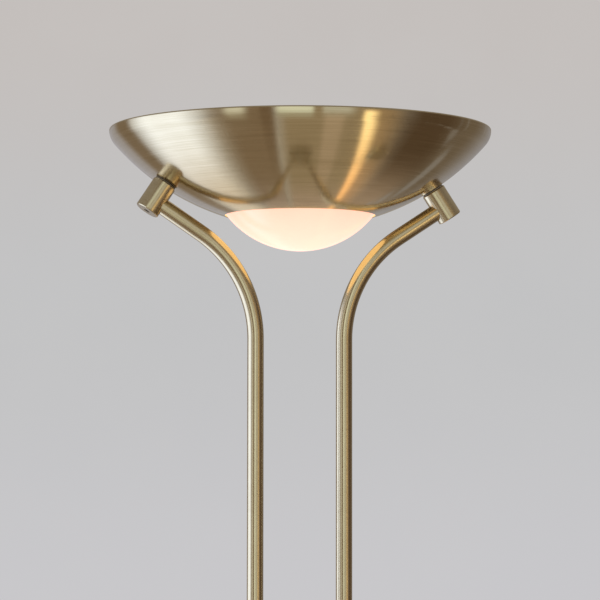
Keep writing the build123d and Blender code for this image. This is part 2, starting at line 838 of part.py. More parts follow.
for name, x in knob_places.items():
    knob_back = Plane(
        origin=(x, -case_d / 2 - knob_gap, case_height_at), x_dir=(1, 0, 0), z_dir=(0, -1, 0)
    )
    spindle_back = case_inside - pot_t / 2 + seat - case_d / 2 - knob_gap
    spindle_front = knob_length - (knob_length - spindle_grip) / 2
    with BuildPart() as spindle:
        rod(knob_back, spindle_back, spindle_front - spindle_back, spindle_r)
        chamfer(spindle.edges().filter_by(GeomType.CIRCLE), mount_edge)
    finish(spindle, f"{name}_dimmer_spindle")

    with BuildPart() as knob:
        rod(knob_back, 0, knob_length, knob_r)
        chamfer(knob.edges().group_by(Axis.Y)[0], mount_edge)
        rod(knob_back, 0, knob_skirt_t, knob_skirt_r)
        with BuildSketch(knob_back.offset(knob_skirt_t)):
            with PolarLocations(knob_r, knob_flutes):
                Circle(knob_flute_r)
        extrude(amount=knob_length, mode=Mode.SUBTRACT)
        with BuildSketch(knob_back.offset(knob_length)):
            with Locations((0, knob_r / 2)):
                Rectangle(knob_mark_w, knob_r)
        extrude(amount=-knob_mark_w / 2, mode=Mode.SUBTRACT)
        rod(knob_back, 0, bush_standout, knob_recess_r, Mode.SUBTRACT)
        rod(knob_back, 0, spindle_front + seat, spindle_r + seat, Mode.SUBTRACT)
    finish(knob, f"{name}_dimmer_knob")

# ---- Reading light: swivel ----

lug_top = bridge_height + lug_t / 2
lug_bottom = bridge_height - lug_t / 2
post_base = lug_top + swivel_washer_t + 2 * seat
pin_z = post_base + swivel_height - fork_ear_r
swivel_axis = Plane(origin=(0, -lug_forward, 0))

with BuildPart() as swivel_washers:
    for level in (lug_top + seat, lug_bottom - seat - swivel_washer_t):
        rod(swivel_axis, level, swivel_washer_t, swivel_r - mount_edge)
        rod(swivel_axis, level, swivel_washer_t, swivel_spigot_r + running, Mode.SUBTRACT)
finish(swivel_washers, "swivel_washers")

swivel_nut_z = lug_bottom - 2 * seat - swivel_washer_t - swivel_nut_t
finish(hex_nuts([swivel_axis], swivel_nut_z, swivel_nut_t, nut_af, swivel_spigot_r), "swivel_nut")

pin_across = Plane(origin=(0, -lug_forward, pin_z), x_dir=(1, 0, 0), z_dir=(0, -1, 0))
with BuildPart() as swivel_post:
    rod(swivel_axis, post_base, swivel_height, swivel_r)
    chamfer(swivel_post.edges().group_by(Axis.Z)[0], mount_edge)
    with BuildSketch(pin_across):
        Rectangle(3 * fork_ear_r, 3 * fork_ear_r, align=(Align.CENTER, Align.MIN))
        Circle(fork_ear_r, mode=Mode.SUBTRACT)
    extrude(amount=2 * swivel_r, both=True, mode=Mode.SUBTRACT)
    with BuildSketch(pin_across):
        with Locations((0, -fork_slot_below)):
            Rectangle(3 * fork_ear_r, 3 * fork_ear_r, align=(Align.CENTER, Align.MIN))
    extrude(amount=fork_slot_w / 2, both=True, mode=Mode.SUBTRACT)
    rod(pin_across, -2 * swivel_r, 4 * swivel_r, pin_r + seat, Mode.SUBTRACT)
    rod(swivel_axis, swivel_nut_z - mount_edge, post_base - swivel_nut_z + mount_edge, swivel_spigot_r)
    rod(swivel_axis, swivel_nut_z - 2 * mount_edge, pin_z - swivel_nut_z, bar_bore_r, Mode.SUBTRACT)
finish(swivel_post, "swivel_post")
finish(pivot_pin(pin_across, 2 * swivel_r), "arm_pivot_pin")

# ---- Reading light: arm ----

rise = radians(arm_rise)
arm_plane = Plane(origin=pin_across.origin, x_dir=(cos(rise), 0, sin(rise)), z_dir=(0, -1, 0))
head_pin = arm_plane.from_local_coords(Vector(arm_length, 0, 0))


def along(plane, distance=0.0):
    """Plane whose normal is the given plane's x direction."""
    return Plane(
        origin=plane.from_local_coords(Vector(distance, 0, 0)), x_dir=plane.z_dir, z_dir=plane.x_dir
    )


def eye(plane, neck_end, plug_length):
    """Flat eye on the plane's origin, with a round neck and a plug pointing along its x."""
    with BuildPart() as piece:
        with BuildSketch(plane):
            Circle(eye_r)
            Rectangle(neck_start + seat, 2 * head_neck_r, align=(Align.MIN, Align.CENTER))
        extrude(amount=eye_t / 2, both=True)
        rod(along(plane), neck_start, neck_end - neck_start, neck_r)
        rod(along(plane), neck_end, plug_length, arm_plug_r)
        rod(plane, -eye_t, 2 * eye_t, pin_r + running, Mode.SUBTRACT)
    return piece


finish(eye(arm_plane, arm_neck_end, arm_plug_length), "arm_root_eye")

fork_back = arm_length - tip_fork_back
with BuildPart() as reader_arm:
    rod(along(arm_plane), arm_neck_end, fork_back - arm_neck_end, arm_r)
    rod(along(arm_plane), arm_neck_end, fork_back - arm_neck_end, arm_r - arm_wall, Mode.SUBTRACT)
finish(reader_arm, "reader_arm")

tip_plane = Plane(origin=head_pin, x_dir=arm_plane.x_dir, z_dir=arm_plane.z_dir)
with BuildPart() as arm_tip_fork:
    rod(along(tip_plane), -tip_fork_back, tip_fork_back + tip_fork_r, tip_fork_r)
    chamfer(arm_tip_fork.edges().group_by(Axis(tip_plane.origin, tip_plane.x_dir))[0], mount_edge)
    with BuildSketch(tip_plane):
        Rectangle(2 * tip_fork_r, 3 * tip_fork_r, align=(Align.MIN, Align.CENTER))
        Circle(tip_fork_r, mode=Mode.SUBTRACT)
    extrude(amount=2 * tip_fork_r, both=True, mode=Mode.SUBTRACT)
    with BuildSketch(tip_plane):
        with Locations((-fork_slot_below, 0)):
            Rectangle(3 * tip_fork_r, 3 * tip_fork_r, align=(Align.MIN, Align.CENTER))
    extrude(amount=fork_slot_w / 2, both=True, mode=Mode.SUBTRACT)
    rod(tip_plane, -2 * tip_fork_r, 4 * tip_fork_r, pin_r + seat, Mode.SUBTRACT)
    rod(along(tip_plane), -tip_fork_back - arm_plug_length, arm_plug_length, arm_plug_r)
finish(arm_tip_fork, "arm_tip_fork")
finish(pivot_pin(tip_plane, 2 * tip_fork_r), "head_pivot_pin")

# ---- Reading light: head, hanging below its pin ----

hang = Plane(origin=head_pin, x_dir=(0, 0, -1), z_dir=(0, -1, 0))
head_frame = Plane(origin=head_pin, x_dir=(1, 0, 0), z_dir=(0, -1, 0))
head_axis = Axis(head_pin, (0, 0, 1))
finish(eye(hang, head_neck, head_plug_length), "head_eye")

with BuildPart() as head_cup:
    rod(along(hang), head_neck, cup_length, cup_r)
    fillet(head_cup.edges().group_by(Axis.Z)[-1], cup_shoulder_r)
    offset(amount=-cup_wall, openings=head_cup.faces().sort_by(Axis.Z)[0])
    rod(along(hang), head_neck, cup_length, arm_plug_r + seat, Mode.SUBTRACT)
finish(head_cup, "head_cup")

holder_top = head_neck + cup_wall
finish(
    turned([along(hang)], holder_top, capsule_holder_length, capsule_holder_r, arm_plug_r + seat),
    "reader_lampholder",
)

with BuildPart() as reader_lamp:
    capsule_top = holder_top + capsule_holder_length
    rod(along(hang), capsule_top - capsule_base_t, capsule_base_t, capsule_base_r)
    rod(along(hang), capsule_top, capsule_length, capsule_r)
    fillet(reader_lamp.edges().group_by(Axis.Z)[0], capsule_dome_r)
    fillet(reader_lamp.edges().filter_by(GeomType.CIRCLE).sort_by(Axis.Z)[-3:-2], capsule_shoulder_r)
finish(reader_lamp, "reader_lamp")

shade_top = head_neck + shade_below_cup_top
shade_mouth = shade_top + shade_depth
shade_neck = (cup_r + seat, -shade_top)
shade_rim = (shade_mouth_r - shade_bead_r + shade_wall / 2, -shade_mouth + shade_bead_r)
shade_centre = crossing(shade_rim, shade_arc_r, shade_neck, shade_arc_r)


def shade_angle(point):
    return degrees(atan2(point[1] - shade_centre[1], point[0] - shade_centre[0]))


def shade_inner(depth):
    """Radius of the shade's inner surface at a depth below the head's pin."""
    return shade_centre[0] + sqrt((shade_arc_r - shade_wall) ** 2 - (-depth - shade_centre[1]) ** 2)


with BuildPart() as reader_shade:
    with BuildSketch(head_frame):
        with BuildLine():
            inner_arc_r = shade_arc_r - shade_wall
            inner_neck_z = shade_centre[1] + sqrt(inner_arc_r**2 - (shade_neck[0] - shade_centre[0]) ** 2)
            mouth_end = shade_angle(shade_rim)
            outer_turn = shade_angle(shade_neck) - mouth_end
            inner_turn = shade_angle((shade_neck[0], inner_neck_z)) - mouth_end
            outer = CenterArc(shade_centre, shade_arc_r, mouth_end, outer_turn)
            inner = CenterArc(shade_centre, inner_arc_r, mouth_end, inner_turn)
            Line(outer @ 0, inner @ 0)
            Line(outer @ 1, inner @ 1)
        make_face()
        with Locations((shade_mouth_r - shade_bead_r, -shade_mouth + shade_bead_r)):
            Circle(shade_bead_r)
    revolve(axis=head_axis)
finish(reader_shade, "reader_shade")

diffuser_low = shade_mouth - diffuser_up
diffuser_r = shade_inner(diffuser_low - diffuser_t) - diffuser_gap
with BuildPart() as reader_diffuser:
    rod(along(hang), diffuser_low - diffuser_t, diffuser_t, diffuser_r)
    fillet(reader_diffuser.edges(), diffuser_edge_r)
finish(reader_diffuser, "reader_diffuser")
ring_r = shade_inner(diffuser_low) - diffuser_gap / 2
finish(
    turned([along(hang)], diffuser_low, diffuser_ring_w, ring_r, ring_r - 2 * diffuser_ring_w),
    "diffuser_ring",
)
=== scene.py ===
import json
from math import atan2, cos, degrees, pi, radians, sin, sqrt, tan

import bmesh
import bpy
from mathutils import Matrix, Vector


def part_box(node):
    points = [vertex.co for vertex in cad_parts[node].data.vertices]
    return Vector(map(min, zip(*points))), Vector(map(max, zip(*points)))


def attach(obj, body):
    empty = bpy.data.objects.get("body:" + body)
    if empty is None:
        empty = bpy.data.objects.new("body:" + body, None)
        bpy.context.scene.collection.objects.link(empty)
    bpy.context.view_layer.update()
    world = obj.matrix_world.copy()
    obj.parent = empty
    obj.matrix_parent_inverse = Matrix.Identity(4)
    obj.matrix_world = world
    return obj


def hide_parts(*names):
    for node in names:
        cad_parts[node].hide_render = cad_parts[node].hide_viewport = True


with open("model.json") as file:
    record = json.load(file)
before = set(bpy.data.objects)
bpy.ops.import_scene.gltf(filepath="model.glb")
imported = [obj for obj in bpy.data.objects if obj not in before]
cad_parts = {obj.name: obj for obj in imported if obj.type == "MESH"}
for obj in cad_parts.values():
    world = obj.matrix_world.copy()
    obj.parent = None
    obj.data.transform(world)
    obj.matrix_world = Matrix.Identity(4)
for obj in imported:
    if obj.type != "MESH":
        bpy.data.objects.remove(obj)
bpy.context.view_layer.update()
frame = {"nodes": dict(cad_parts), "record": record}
cadNodes = frame["nodes"]
bodies = frame["record"]["behaviour"]["bodies"]
bodyOf = {name: body for body, names in bodies.items() for name in names}
mm = 0.001
up, acrossX, sideY = Vector((0, 0, 1)), Vector((1, 0, 0)), Vector((0, 1, 0))
print("frame loaded:", len(cadNodes), "CAD nodes")


def addNode(tree, kind, inputs=None, **settings):
    node = tree.nodes.new(kind)
    for key, value in settings.items():
        setattr(node, key, value)
    for key, value in (inputs or {}).items():
        feed(tree, node.inputs[key], value)
    return node


def made(tree, kind, inputs=None, **settings):
    # adds a node for its first output
    return addNode(tree, kind, inputs, **settings).outputs[0]


def feed(tree, socket, value):
    # a socket is wired, anything else is typed into the field
    if isinstance(value, bpy.types.NodeSocket):
        tree.links.new(value, socket)
    elif value is not None:
        opaque = socket.type == "RGBA" and len(value) == 3
        socket.default_value = (*value, 1.0) if opaque else value


def math(tree, operation, *values):
    return made(tree, "ShaderNodeMath", dict(enumerate(values)), operation=operation)


def vectorMath(tree, operation, *values):
    return made(tree, "ShaderNodeVectorMath", dict(enumerate(values)), operation=operation)


def scaled(tree, vector, factor):
    inputs = {"Vector": vector, "Scale": factor}
    return made(tree, "ShaderNodeVectorMath", inputs, operation="SCALE")


def combined(tree, *values):
    return made(tree, "ShaderNodeCombineXYZ", dict(enumerate(values)))


def separated(tree, vector):
    return addNode(tree, "ShaderNodeSeparateXYZ", {0: vector}).outputs


def remapped(tree, value, low, high, toLow=0.0, toHigh=1.0, curve="SMOOTHSTEP"):
    inputs = dict(enumerate((value, low, high, toLow, toHigh)))
    return made(tree, "ShaderNodeMapRange", inputs, interpolation_type=curve)


def noise(tree, vector, scale, detail=3.0, roughness=0.55):
    inputs = {"Vector": vector, "Scale": scale, "Detail": detail, "Roughness": roughness}
    return addNode(tree, "ShaderNodeTexNoise", inputs).outputs["Fac"]


def mixedColour(tree, factor, first, second):
    inputs = {"Factor": factor, "A": first, "B": second}
    return addNode(tree, "ShaderNodeMix", inputs, data_type="RGBA").outputs["Result"]


def newShapeTree(name, sockets):
    # a geometry tree that takes points or lines, some values and a material
    tree = bpy.data.node_groups.new(name, "GeometryNodeTree")
    for label, kind in {"Geometry": "Geometry", **sockets, "Material": "Material"}.items():
        tree.interface.new_socket(name=label, in_out="INPUT", socket_type="NodeSocket" + kind)
    tree.interface.new_socket(name="Geometry", in_out="OUTPUT", socket_type="NodeSocketGeometry")
    return tree, addNode(tree, "NodeGroupInput").outputs


def closeShapeTree(tree, given, geometry):
    # only real geometry in the given material leaves the tree
    realized = made(tree, "GeometryNodeRealizeInstances", {"Geometry": geometry})
    inputs = {"Geometry": realized, "Material": given["Material"]}
    painted = made(tree, "GeometryNodeSetMaterial", inputs)
    addNode(tree, "NodeGroupOutput", {"Geometry": painted})
    return tree


def buildTurnedTree():
    # The tree carries rows of points round a line. Each row has its place, the way to its
    # first point, its girth and how far along the piece it lies, so a dish, a knob and a bent
    # tube all come from it.
    sockets = {"Segments": "Int", "Side": "Vector", "Flutes": "Float", "Flute Depth": "Float"}
    tree, given = newShapeTree("turned", sockets)
    source = given["Geometry"]
    size = addNode(tree, "GeometryNodeAttributeDomainSize", {0: source}, component="MESH")
    rows = size.outputs["Point Count"]
    counts = {"Vertices X": math(tree, "ADD", given["Segments"], 1.0), "Vertices Y": rows}
    sheet = addNode(tree, "GeometryNodeMeshGrid", counts)
    # the grid is one unit wide and deep, round its middle
    place = separated(tree, made(tree, "GeometryNodeInputPosition"))
    turn, share = (math(tree, "ADD", place[i], 0.5) for i in (0, 1))
    row = math(tree, "MULTIPLY", share, math(tree, "SUBTRACT", rows, 1.0))
    row = math(tree, "ROUND", row)

    def sampled(name, kind="FLOAT"):
        if name == "position":
            value = made(tree, "GeometryNodeInputPosition")
        else:
            value = made(tree, "GeometryNodeInputNamedAttribute", {"Name": name}, data_type=kind)
        inputs = {"Geometry": source, "Value": value, "Index": row}
        settings = {"data_type": kind, "domain": "POINT", "clamp": True}
        return made(tree, "GeometryNodeSampleIndex", inputs, **settings)

    angle = math(tree, "MULTIPLY", turn, 2 * pi)
    wave = math(tree, "COSINE", math(tree, "MULTIPLY", angle, given["Flutes"]))
    groove = math(tree, "MULTIPLY_ADD", wave, 0.5, 0.5)
    groove = math(tree, "MULTIPLY", groove, given["Flute Depth"])
    groove = math(tree, "MULTIPLY", groove, sampled("fluted"))
    girth = math(tree, "SUBTRACT", sampled("girth"), groove)
    ahead = scaled(tree, sampled("across", "FLOAT_VECTOR"), math(tree, "COSINE", angle))
    aside = scaled(tree, given["Side"], math(tree, "SINE", angle))
    outwards = vectorMath(tree, "ADD", ahead, aside)
    centre = sampled("position", "FLOAT_VECTOR")
    moved = vectorMath(tree, "ADD", centre, scaled(tree, outwards, girth))
    inputs = {
        "Geometry": sheet.outputs["Mesh"],
        "Name": "turned",
        "Value": combined(tree, turn, sampled("along"), 0.0),
    }
    settings = {"data_type": "FLOAT2", "domain": "CORNER"}
    geometry = made(tree, "GeometryNodeStoreNamedAttribute", inputs, **settings)
    for kind, inputs in (
        ("GeometryNodeSetPosition", {"Position": moved}),
        ("GeometryNodeMergeByDistance", {"Distance": 0.001 * mm}),
        ("GeometryNodeSetShadeSmooth", {}),
    ):
        geometry = made(tree, kind, {"Geometry": geometry, **inputs})
    return closeShapeTree(tree, given, geometry)


turnedTree = buildTurnedTree()


def linked(name, data):
    thing = bpy.data.objects.new(name, data)
    bpy.context.scene.collection.objects.link(thing)
    return thing


def keptMesh(name, holder, **options):
    # evaluates the holder's modifiers once and keeps a plain mesh
    graph = bpy.context.evaluated_depsgraph_get()
    shape = holder.evaluated_get(graph)
    mesh = bpy.data.meshes.new_from_object(shape, depsgraph=graph, **options)
    bpy.data.objects.remove(holder)
    mesh.name = name
    return mesh


def plainMesh(name, source, tree, inputs):
    # sets the modifier's inputs by identifier
    holder = linked(name + "_lines", source)
    modifier = holder.modifiers.new("shape", "NODES")
    modifier.node_group = tree
    for item in tree.interface.items_tree:
        if item.item_type == "SOCKET" and item.in_out == "INPUT" and item.name in inputs:
            modifier[item.identifier] = inputs[item.name]
    return keptMesh(name, holder, preserve_all_data_layers=True)


def slotOf(nodeName):
    return cadNodes[nodeName].data.materials[0].name.split(".")[0]


def shown(name, mesh, *replaced):
    # puts a finished mesh in the place of CAD nodes and on their body
    thing = linked(name, mesh)
    body, slotName = bodyOf[replaced[0]], slotOf(replaced[0])
    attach(thing, body)
    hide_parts(*replaced)


def turnedMesh(name, rows, material, segments=96, side=sideY, flutes=0.0, fluteDepth=0.0):
    # rows: (place, way to the first point, girth, fluted) in metres
    line = bpy.data.meshes.new(name + "_rows")
    line.from_pydata([row[0] for row in rows], [(i, i + 1) for i in range(len(rows) - 1)], [])
    along = [0.0]
    for before, after in zip(rows, rows[1:]):
        rise, growth = (after[0] - before[0]).length, after[2] - before[2]
        along.append(along[-1] + sqrt(rise**2 + growth**2))
    columns = (
        ("girth", "FLOAT", "value", [row[2] for row in rows]),
        ("fluted", "FLOAT", "value", [row[3] for row in rows]),
        ("along", "FLOAT", "value", along),
        ("across", "FLOAT_VECTOR", "vector", [part for row in rows for part in row[1]]),
    )
    for label, kind, field, values in columns:
        line.attributes.new(label, kind, "POINT").data.foreach_set(field, values)
    inputs = {
        "Segments": segments,
        "Side": tuple(side),
        "Flutes": float(flutes),
        "Flute Depth": fluteDepth,
        "Material": material,
    }
    mesh = plainMesh(name, line, turnedTree, inputs)
    # doubles are merged in the tree already, so the faces only need to agree
    work = bmesh.new()
    work.from_mesh(mesh)
    bmesh.ops.recalc_face_normals(work, faces=work.faces)
    work.to_mesh(mesh)
    work.free()
    return mesh


def arc(centre, radius, start, end, count):
    # points on a circle, angles in degrees
    steps = [radians(start + (end - start) * i / count) for i in range(count + 1)]
    return [(centre[0] + radius * cos(a), centre[1] + radius * sin(a)) for a in steps]


def eased(corners, steps=4, hold=0.12):
    # rounds each corner given as (r, z, radius) and keeps a close row beside the rounding,
    # so that flat faces stay flat under smooth shading
    points = []
    for i, corner in enumerate(corners):
        if len(corner) == 2 or i in (0, len(corners) - 1):
            points.append(tuple(corner[:2]))
            continue
        here = Vector(corner[:2])
        back, ahead = (Vector(corners[i + step][:2]) - here for step in (-1, 1))
        half = back.angle(ahead) / 2
        reach = min(corner[2] / tan(half), 0.45 * back.length, 0.45 * ahead.length)
        radius, margin = reach * tan(half), min(hold, 0.4 * reach)
        back, ahead = back.normalized(), ahead.normalized()
        first, last = here + back * reach, here + ahead * reach
        middle = here + (back + ahead).normalized() * radius / sin(half)
        startAngle, endAngle = (atan2(*(p - middle).yx) for p in (first, last))
        sweep = (endAngle - startAngle + pi) % (2 * pi) - pi
        points.append(tuple(first + back * margin))
        points += arc(middle, radius, degrees(startAngle), degrees(startAngle + sweep), steps)
        points.append(tuple(last + ahead * margin))
    return points


def spunRows(points, origin=Vector((0, 0, 0)), axis=up, ribs=lambda r, z: 0.0):
    # points: (radius, distance along the axis) in mm
    return [(origin + axis * (z * mm), acrossX, r * mm, ribs(r, z)) for r, z in points]


def tubeRows(stations, radius, endRound):
    # stations: (place in metres, way across) along a drawn tube, closed at both ends
    (first, firstWay), (last, lastWay) = stations[0], stations[-1]
    forward = (stations[1][0] - first).normalized()
    backward = (stations[-2][0] - last).normalized()
    inner = radius - endRound * mm
    # the extra rows beside each rounding keep the wall's shading straight
    hold = endRound + 0.25
    rows = [(first, firstWay, girth, 0.0) for girth in (0.0, inner)]
    rows += [(first + forward * reach * mm, firstWay, radius, 0.0) for reach in (endRound, hold)]
    rows += [(place, way, radius, 0.0) for place, way in stations[1:-1]]
    rows += [(last + backward * reach * mm, lastWay, radius, 0.0) for reach in (hold, endRound)]
    rows += [(last, lastWay, girth, 0.0) for girth in (inner, 0.0)]
    return rows


print("turning tree ready")


def newGroup(name, inputs, outputs):
    # inputs: each label's first value, or None for a vector
    group = bpy.data.node_groups.new(name, "ShaderNodeTree")
    for label, value in inputs.items():
        kind = "NodeSocketVector" if value is None else "NodeSocketFloat"
        socket = group.interface.new_socket(name=label, in_out="INPUT", socket_type=kind)
        if value is not None:
            socket.default_value = value
    for label in outputs:
        group.interface.new_socket(name=label, in_out="OUTPUT", socket_type="NodeSocketFloat")
    given, result = (addNode(group, "NodeGroup" + end) for end in ("Input", "Output"))
    return group, given.outputs, result.inputs


def buildBrushing():
    # fine lines left round a turned piece: long round it, short along it
    inputs = {"Place": None, "Fineness": 1500.0, "Length": 2.0}
    group, given, result = newGroup("brushing", inputs, ("Lines", "Bands"))
    around, along, _ = separated(group, given["Place"])
    angle = math(group, "MULTIPLY", around, 2 * pi)
    east, north = (math(group, wave, angle) for wave in ("COSINE", "SINE"))
    east, north = (math(group, "MULTIPLY", way, given["Length"]) for way in (east, north))
    fine = math(group, "MULTIPLY", along, given["Fineness"])
    coarse = math(group, "MULTIPLY", fine, 0.11)
    feed(group, result["Lines"], noise(group, combined(group, east, north, fine), 1.0, 2.0, 0.6))
    feed(group, result["Bands"], noise(group, combined(group, east, north, coarse), 1.0))
    return group


def buildPatina():
    # soft clouds of handling and tarnish, with small specks
    inputs = {"Vector": None, "Size": 0.05, "Specks": 600.0}
    group, given, result = newGroup("patina", inputs, ("Clouds", "Specks"))
    clouds = noise(group, given["Vector"], math(group, "DIVIDE", 1.0, given["Size"]), 4.0, 0.6)
    feed(group, result["Clouds"], remapped(group, clouds, 0.3, 0.7))
    dots = noise(group, given["Vector"], given["Specks"], 2.0, 0.5)
    feed(group, result["Specks"], remapped(group, dots, 0.66, 0.78))
    return group


def buildDust():
    # what settles on faces that look up
    group, given, result = newGroup("dust", {"Vector": None, "Normal": None}, ("Mask",))
    facing = remapped(group, separated(group, given["Normal"])[2], 0.35, 1.0)
    drift = remapped(group, noise(group, given["Vector"], 45.0, 6.0, 0.65), 0.35, 0.75, 0.25)
    feed(group, result["Mask"], math(group, "MULTIPLY", facing, drift))
    return group


groups = {"brushing": buildBrushing(), "patina": buildPatina(), "dust": buildDust()}


def placed(tree, name, **inputs):
    return addNode(tree, "ShaderNodeGroup", inputs, node_tree=groups[name]).outputs


def clearedTree(owner):
    owner.use_nodes = True
    owner.node_tree.nodes.clear()
    return owner.node_tree


def newMaterial(name):
    # every surface starts from its object coordinates and from a Principled shader
    material = bpy.data.materials.new(name)
    tree = clearedTree(material)
    shader = addNode(tree, "ShaderNodeBsdfPrincipled")
    addNode(tree, "ShaderNodeOutputMaterial", {"Surface": shader.outputs[0]})
    coordinates = addNode(tree, "ShaderNodeTexCoord").outputs
    return material, tree, shader.inputs, coordinates["Object"], coordinates["Normal"]


def bumped(tree, shader, height, depth):
    inputs = {"Strength": 1.0, "Distance": depth, "Height": height}
    feed(tree, shader["Normal"], made(tree, "ShaderNodeBump", inputs))


brassLook = {
    "light": (0.66, 0.57, 0.40),
    "dark": (0.54, 0.455, 0.30),
    "tarnish": (0.30, 0.205, 0.10),
    "dust": (0.55, 0.52, 0.47),
    "settled": 0.10,  # how much of the dust's colour shows
    "patinaSize": 0.06,
    "specks": 900.0,
    "bands": 0.34,  # how much the broad bands count against the fine lines
    "middle": 0.67,
    "spread": 0.33,
    "swing": 0.10,
    "dulled": 0.03,  # what clouds add to the roughness
    "dusty": 0.8,  # what dust adds to it
}
# fineness: lines in each metre; length: how short the lines are; pull: how far highlights
# smear; relief: mm
brassColumns = ("fineness", "length", "roughness", "pull", "relief", "contrast", "stain", "specks")
brassKinds = {
    "bowl_brass": (2000.0, 2.4, 0.125, 0.8, 0.0017, 1.5, 0.12, 0.10),
    "tube_brass": (520.0, 0.6, 0.19, 0.5, 0.0, 0.35, 0.10, 0.0),
    "block_brass": (900.0, 0.6, 0.22, 0.5, 0.0002, 0.5, 0.22, 0.05),
    "bar_brass": (1100.0, 0.8, 0.22, 0.5, 0.0002, 0.6, 0.20, 0.05),
    "disc_brass": (1500.0, 5.0, 0.24, 0.75, 0.0006, 1.0, 0.15, 0.08),
    "spun_brass": (1700.0, 2.2, 0.17, 0.8, 0.001, 1.1, 0.14, 0.08),
    "knob_brass": (1700.0, 2.0, 0.22, 0.6, 0.0006, 0.8, 0.16, 0.05),
    "sheet_brass": (1600.0, 1.0, 0.38, 0.0, 0.002, 0.8, 0.20, 0.10),
}


def brass(name, *values):
    # satin antique brass, brushed round the piece where highlights smear along its "turned" map
    look = dict(zip(brassColumns, values))
    material, tree, shader, place, normal = newMaterial(name)
    if look["pull"]:
        lay = made(tree, "ShaderNodeUVMap", uv_map="turned")
        tangent = made(tree, "ShaderNodeTangent", direction_type="UV_MAP", uv_map="turned")
        feed(tree, shader["Tangent"], tangent)
        shader["Anisotropic"].default_value = look["pull"]
        shader["Anisotropic Rotation"].default_value = 0.25
    else:
        lay = combined(tree, 0.0, separated(tree, place)[2], 0.0)
    lines = placed(tree, "brushing", Place=lay, Fineness=look["fineness"], Length=look["length"])
    sizes = {"Size": brassLook["patinaSize"], "Specks": brassLook["specks"]}
    patina = placed(tree, "patina", Vector=place, **sizes)
    dust = placed(tree, "dust", Vector=place, Normal=normal)
    bands = math(tree, "MULTIPLY", lines["Bands"], brassLook["bands"])
    tone = math(tree, "MULTIPLY_ADD", lines["Lines"], 1.0, bands)
    middle, spread = brassLook["middle"], brassLook["spread"] / look["contrast"]
    tone = remapped(tree, tone, middle - spread, middle + spread, curve="LINEAR")
    colour = mixedColour(tree, tone, brassLook["dark"], brassLook["light"])
    stain = math(tree, "MULTIPLY", patina["Clouds"], look["stain"])
    stain = math(tree, "MAXIMUM", stain, math(tree, "MULTIPLY", patina["Specks"], look["specks"]))
    colour = mixedColour(tree, stain, colour, brassLook["tarnish"])
    settled = math(tree, "MULTIPLY", dust["Mask"], brassLook["settled"])
    feed(tree, shader["Base Color"], mixedColour(tree, settled, colour, brassLook["dust"]))
    shader["Metallic"].default_value = 1.0
    swing = brassLook["swing"] * look["contrast"]
    rough = math(tree, "MULTIPLY_ADD", lines["Lines"], swing, look["roughness"] - swing / 2)
    for mask, more in ((patina["Clouds"], brassLook["dulled"]), (settled, brassLook["dusty"])):
        rough = math(tree, "ADD", rough, math(tree, "MULTIPLY", mask, more))
    feed(tree, shader["Roughness"], rough)
    bumped(tree, shader, lines["Lines"], look["relief"] * mm)
    return material


metalLook = {"clouds": 0.012, "specks": 1500.0, "grain": 2500.0, "dull": 0.12, "tooth": 0.06}


def plainMetal(name, light, dark, roughness, metallic=1.0, relief=0.006):
    # plated or painted metal with a fine tooth and a few scuffs
    material, tree, shader, place, _ = newMaterial(name)
    sizes = {"Size": metalLook["clouds"], "Specks": metalLook["specks"]}
    patina = placed(tree, "patina", Vector=place, **sizes)
    grain = noise(tree, place, metalLook["grain"], 3.0, 0.6)
    colour = mixedColour(tree, patina["Clouds"], light, dark)
    feed(tree, shader["Base Color"], mixedColour(tree, patina["Specks"], colour, dark))
    shader["Metallic"].default_value = metallic
    rough = math(tree, "MULTIPLY_ADD", patina["Clouds"], metalLook["dull"], roughness)
    rough = math(tree, "MULTIPLY_ADD", grain, metalLook["tooth"], rough)
    feed(tree, shader["Roughness"], rough)
    bumped(tree, shader, grain, relief * mm)
    return material


mouldedLook = {"clouds": 0.02, "specks": 1100.0, "clouding": 0.7, "tooth": 0.15}


def moulded(name, light, dark, roughness, coat=0.0, grainScale=1800.0, relief=0.02):
    # plastic, rubber, ceramic and board: slight clouding under a fine tooth
    material, tree, shader, place, normal = newMaterial(name)
    sizes = {"Size": mouldedLook["clouds"], "Specks": mouldedLook["specks"]}
    patina = placed(tree, "patina", Vector=place, **sizes)
    dust = placed(tree, "dust", Vector=place, Normal=normal)
    grain = noise(tree, place, grainScale)
    cloudy = math(tree, "MULTIPLY", patina["Clouds"], mouldedLook["clouding"])
    colour = mixedColour(tree, cloudy, light, dark)
    settled = math(tree, "MULTIPLY", dust["Mask"], brassLook["settled"])
    feed(tree, shader["Base Color"], mixedColour(tree, settled, colour, brassLook["dust"]))
    rough = math(tree, "MULTIPLY_ADD", grain, mouldedLook["tooth"], roughness)
    feed(tree, shader["Roughness"], rough)
    shader["Coat Weight"].default_value = coat
    bumped(tree, shader, grain, relief * mm)
    return material


glassLook = {"clouds": 0.03, "specks": 700.0, "clouding": 0.08, "dulled": 0.05}


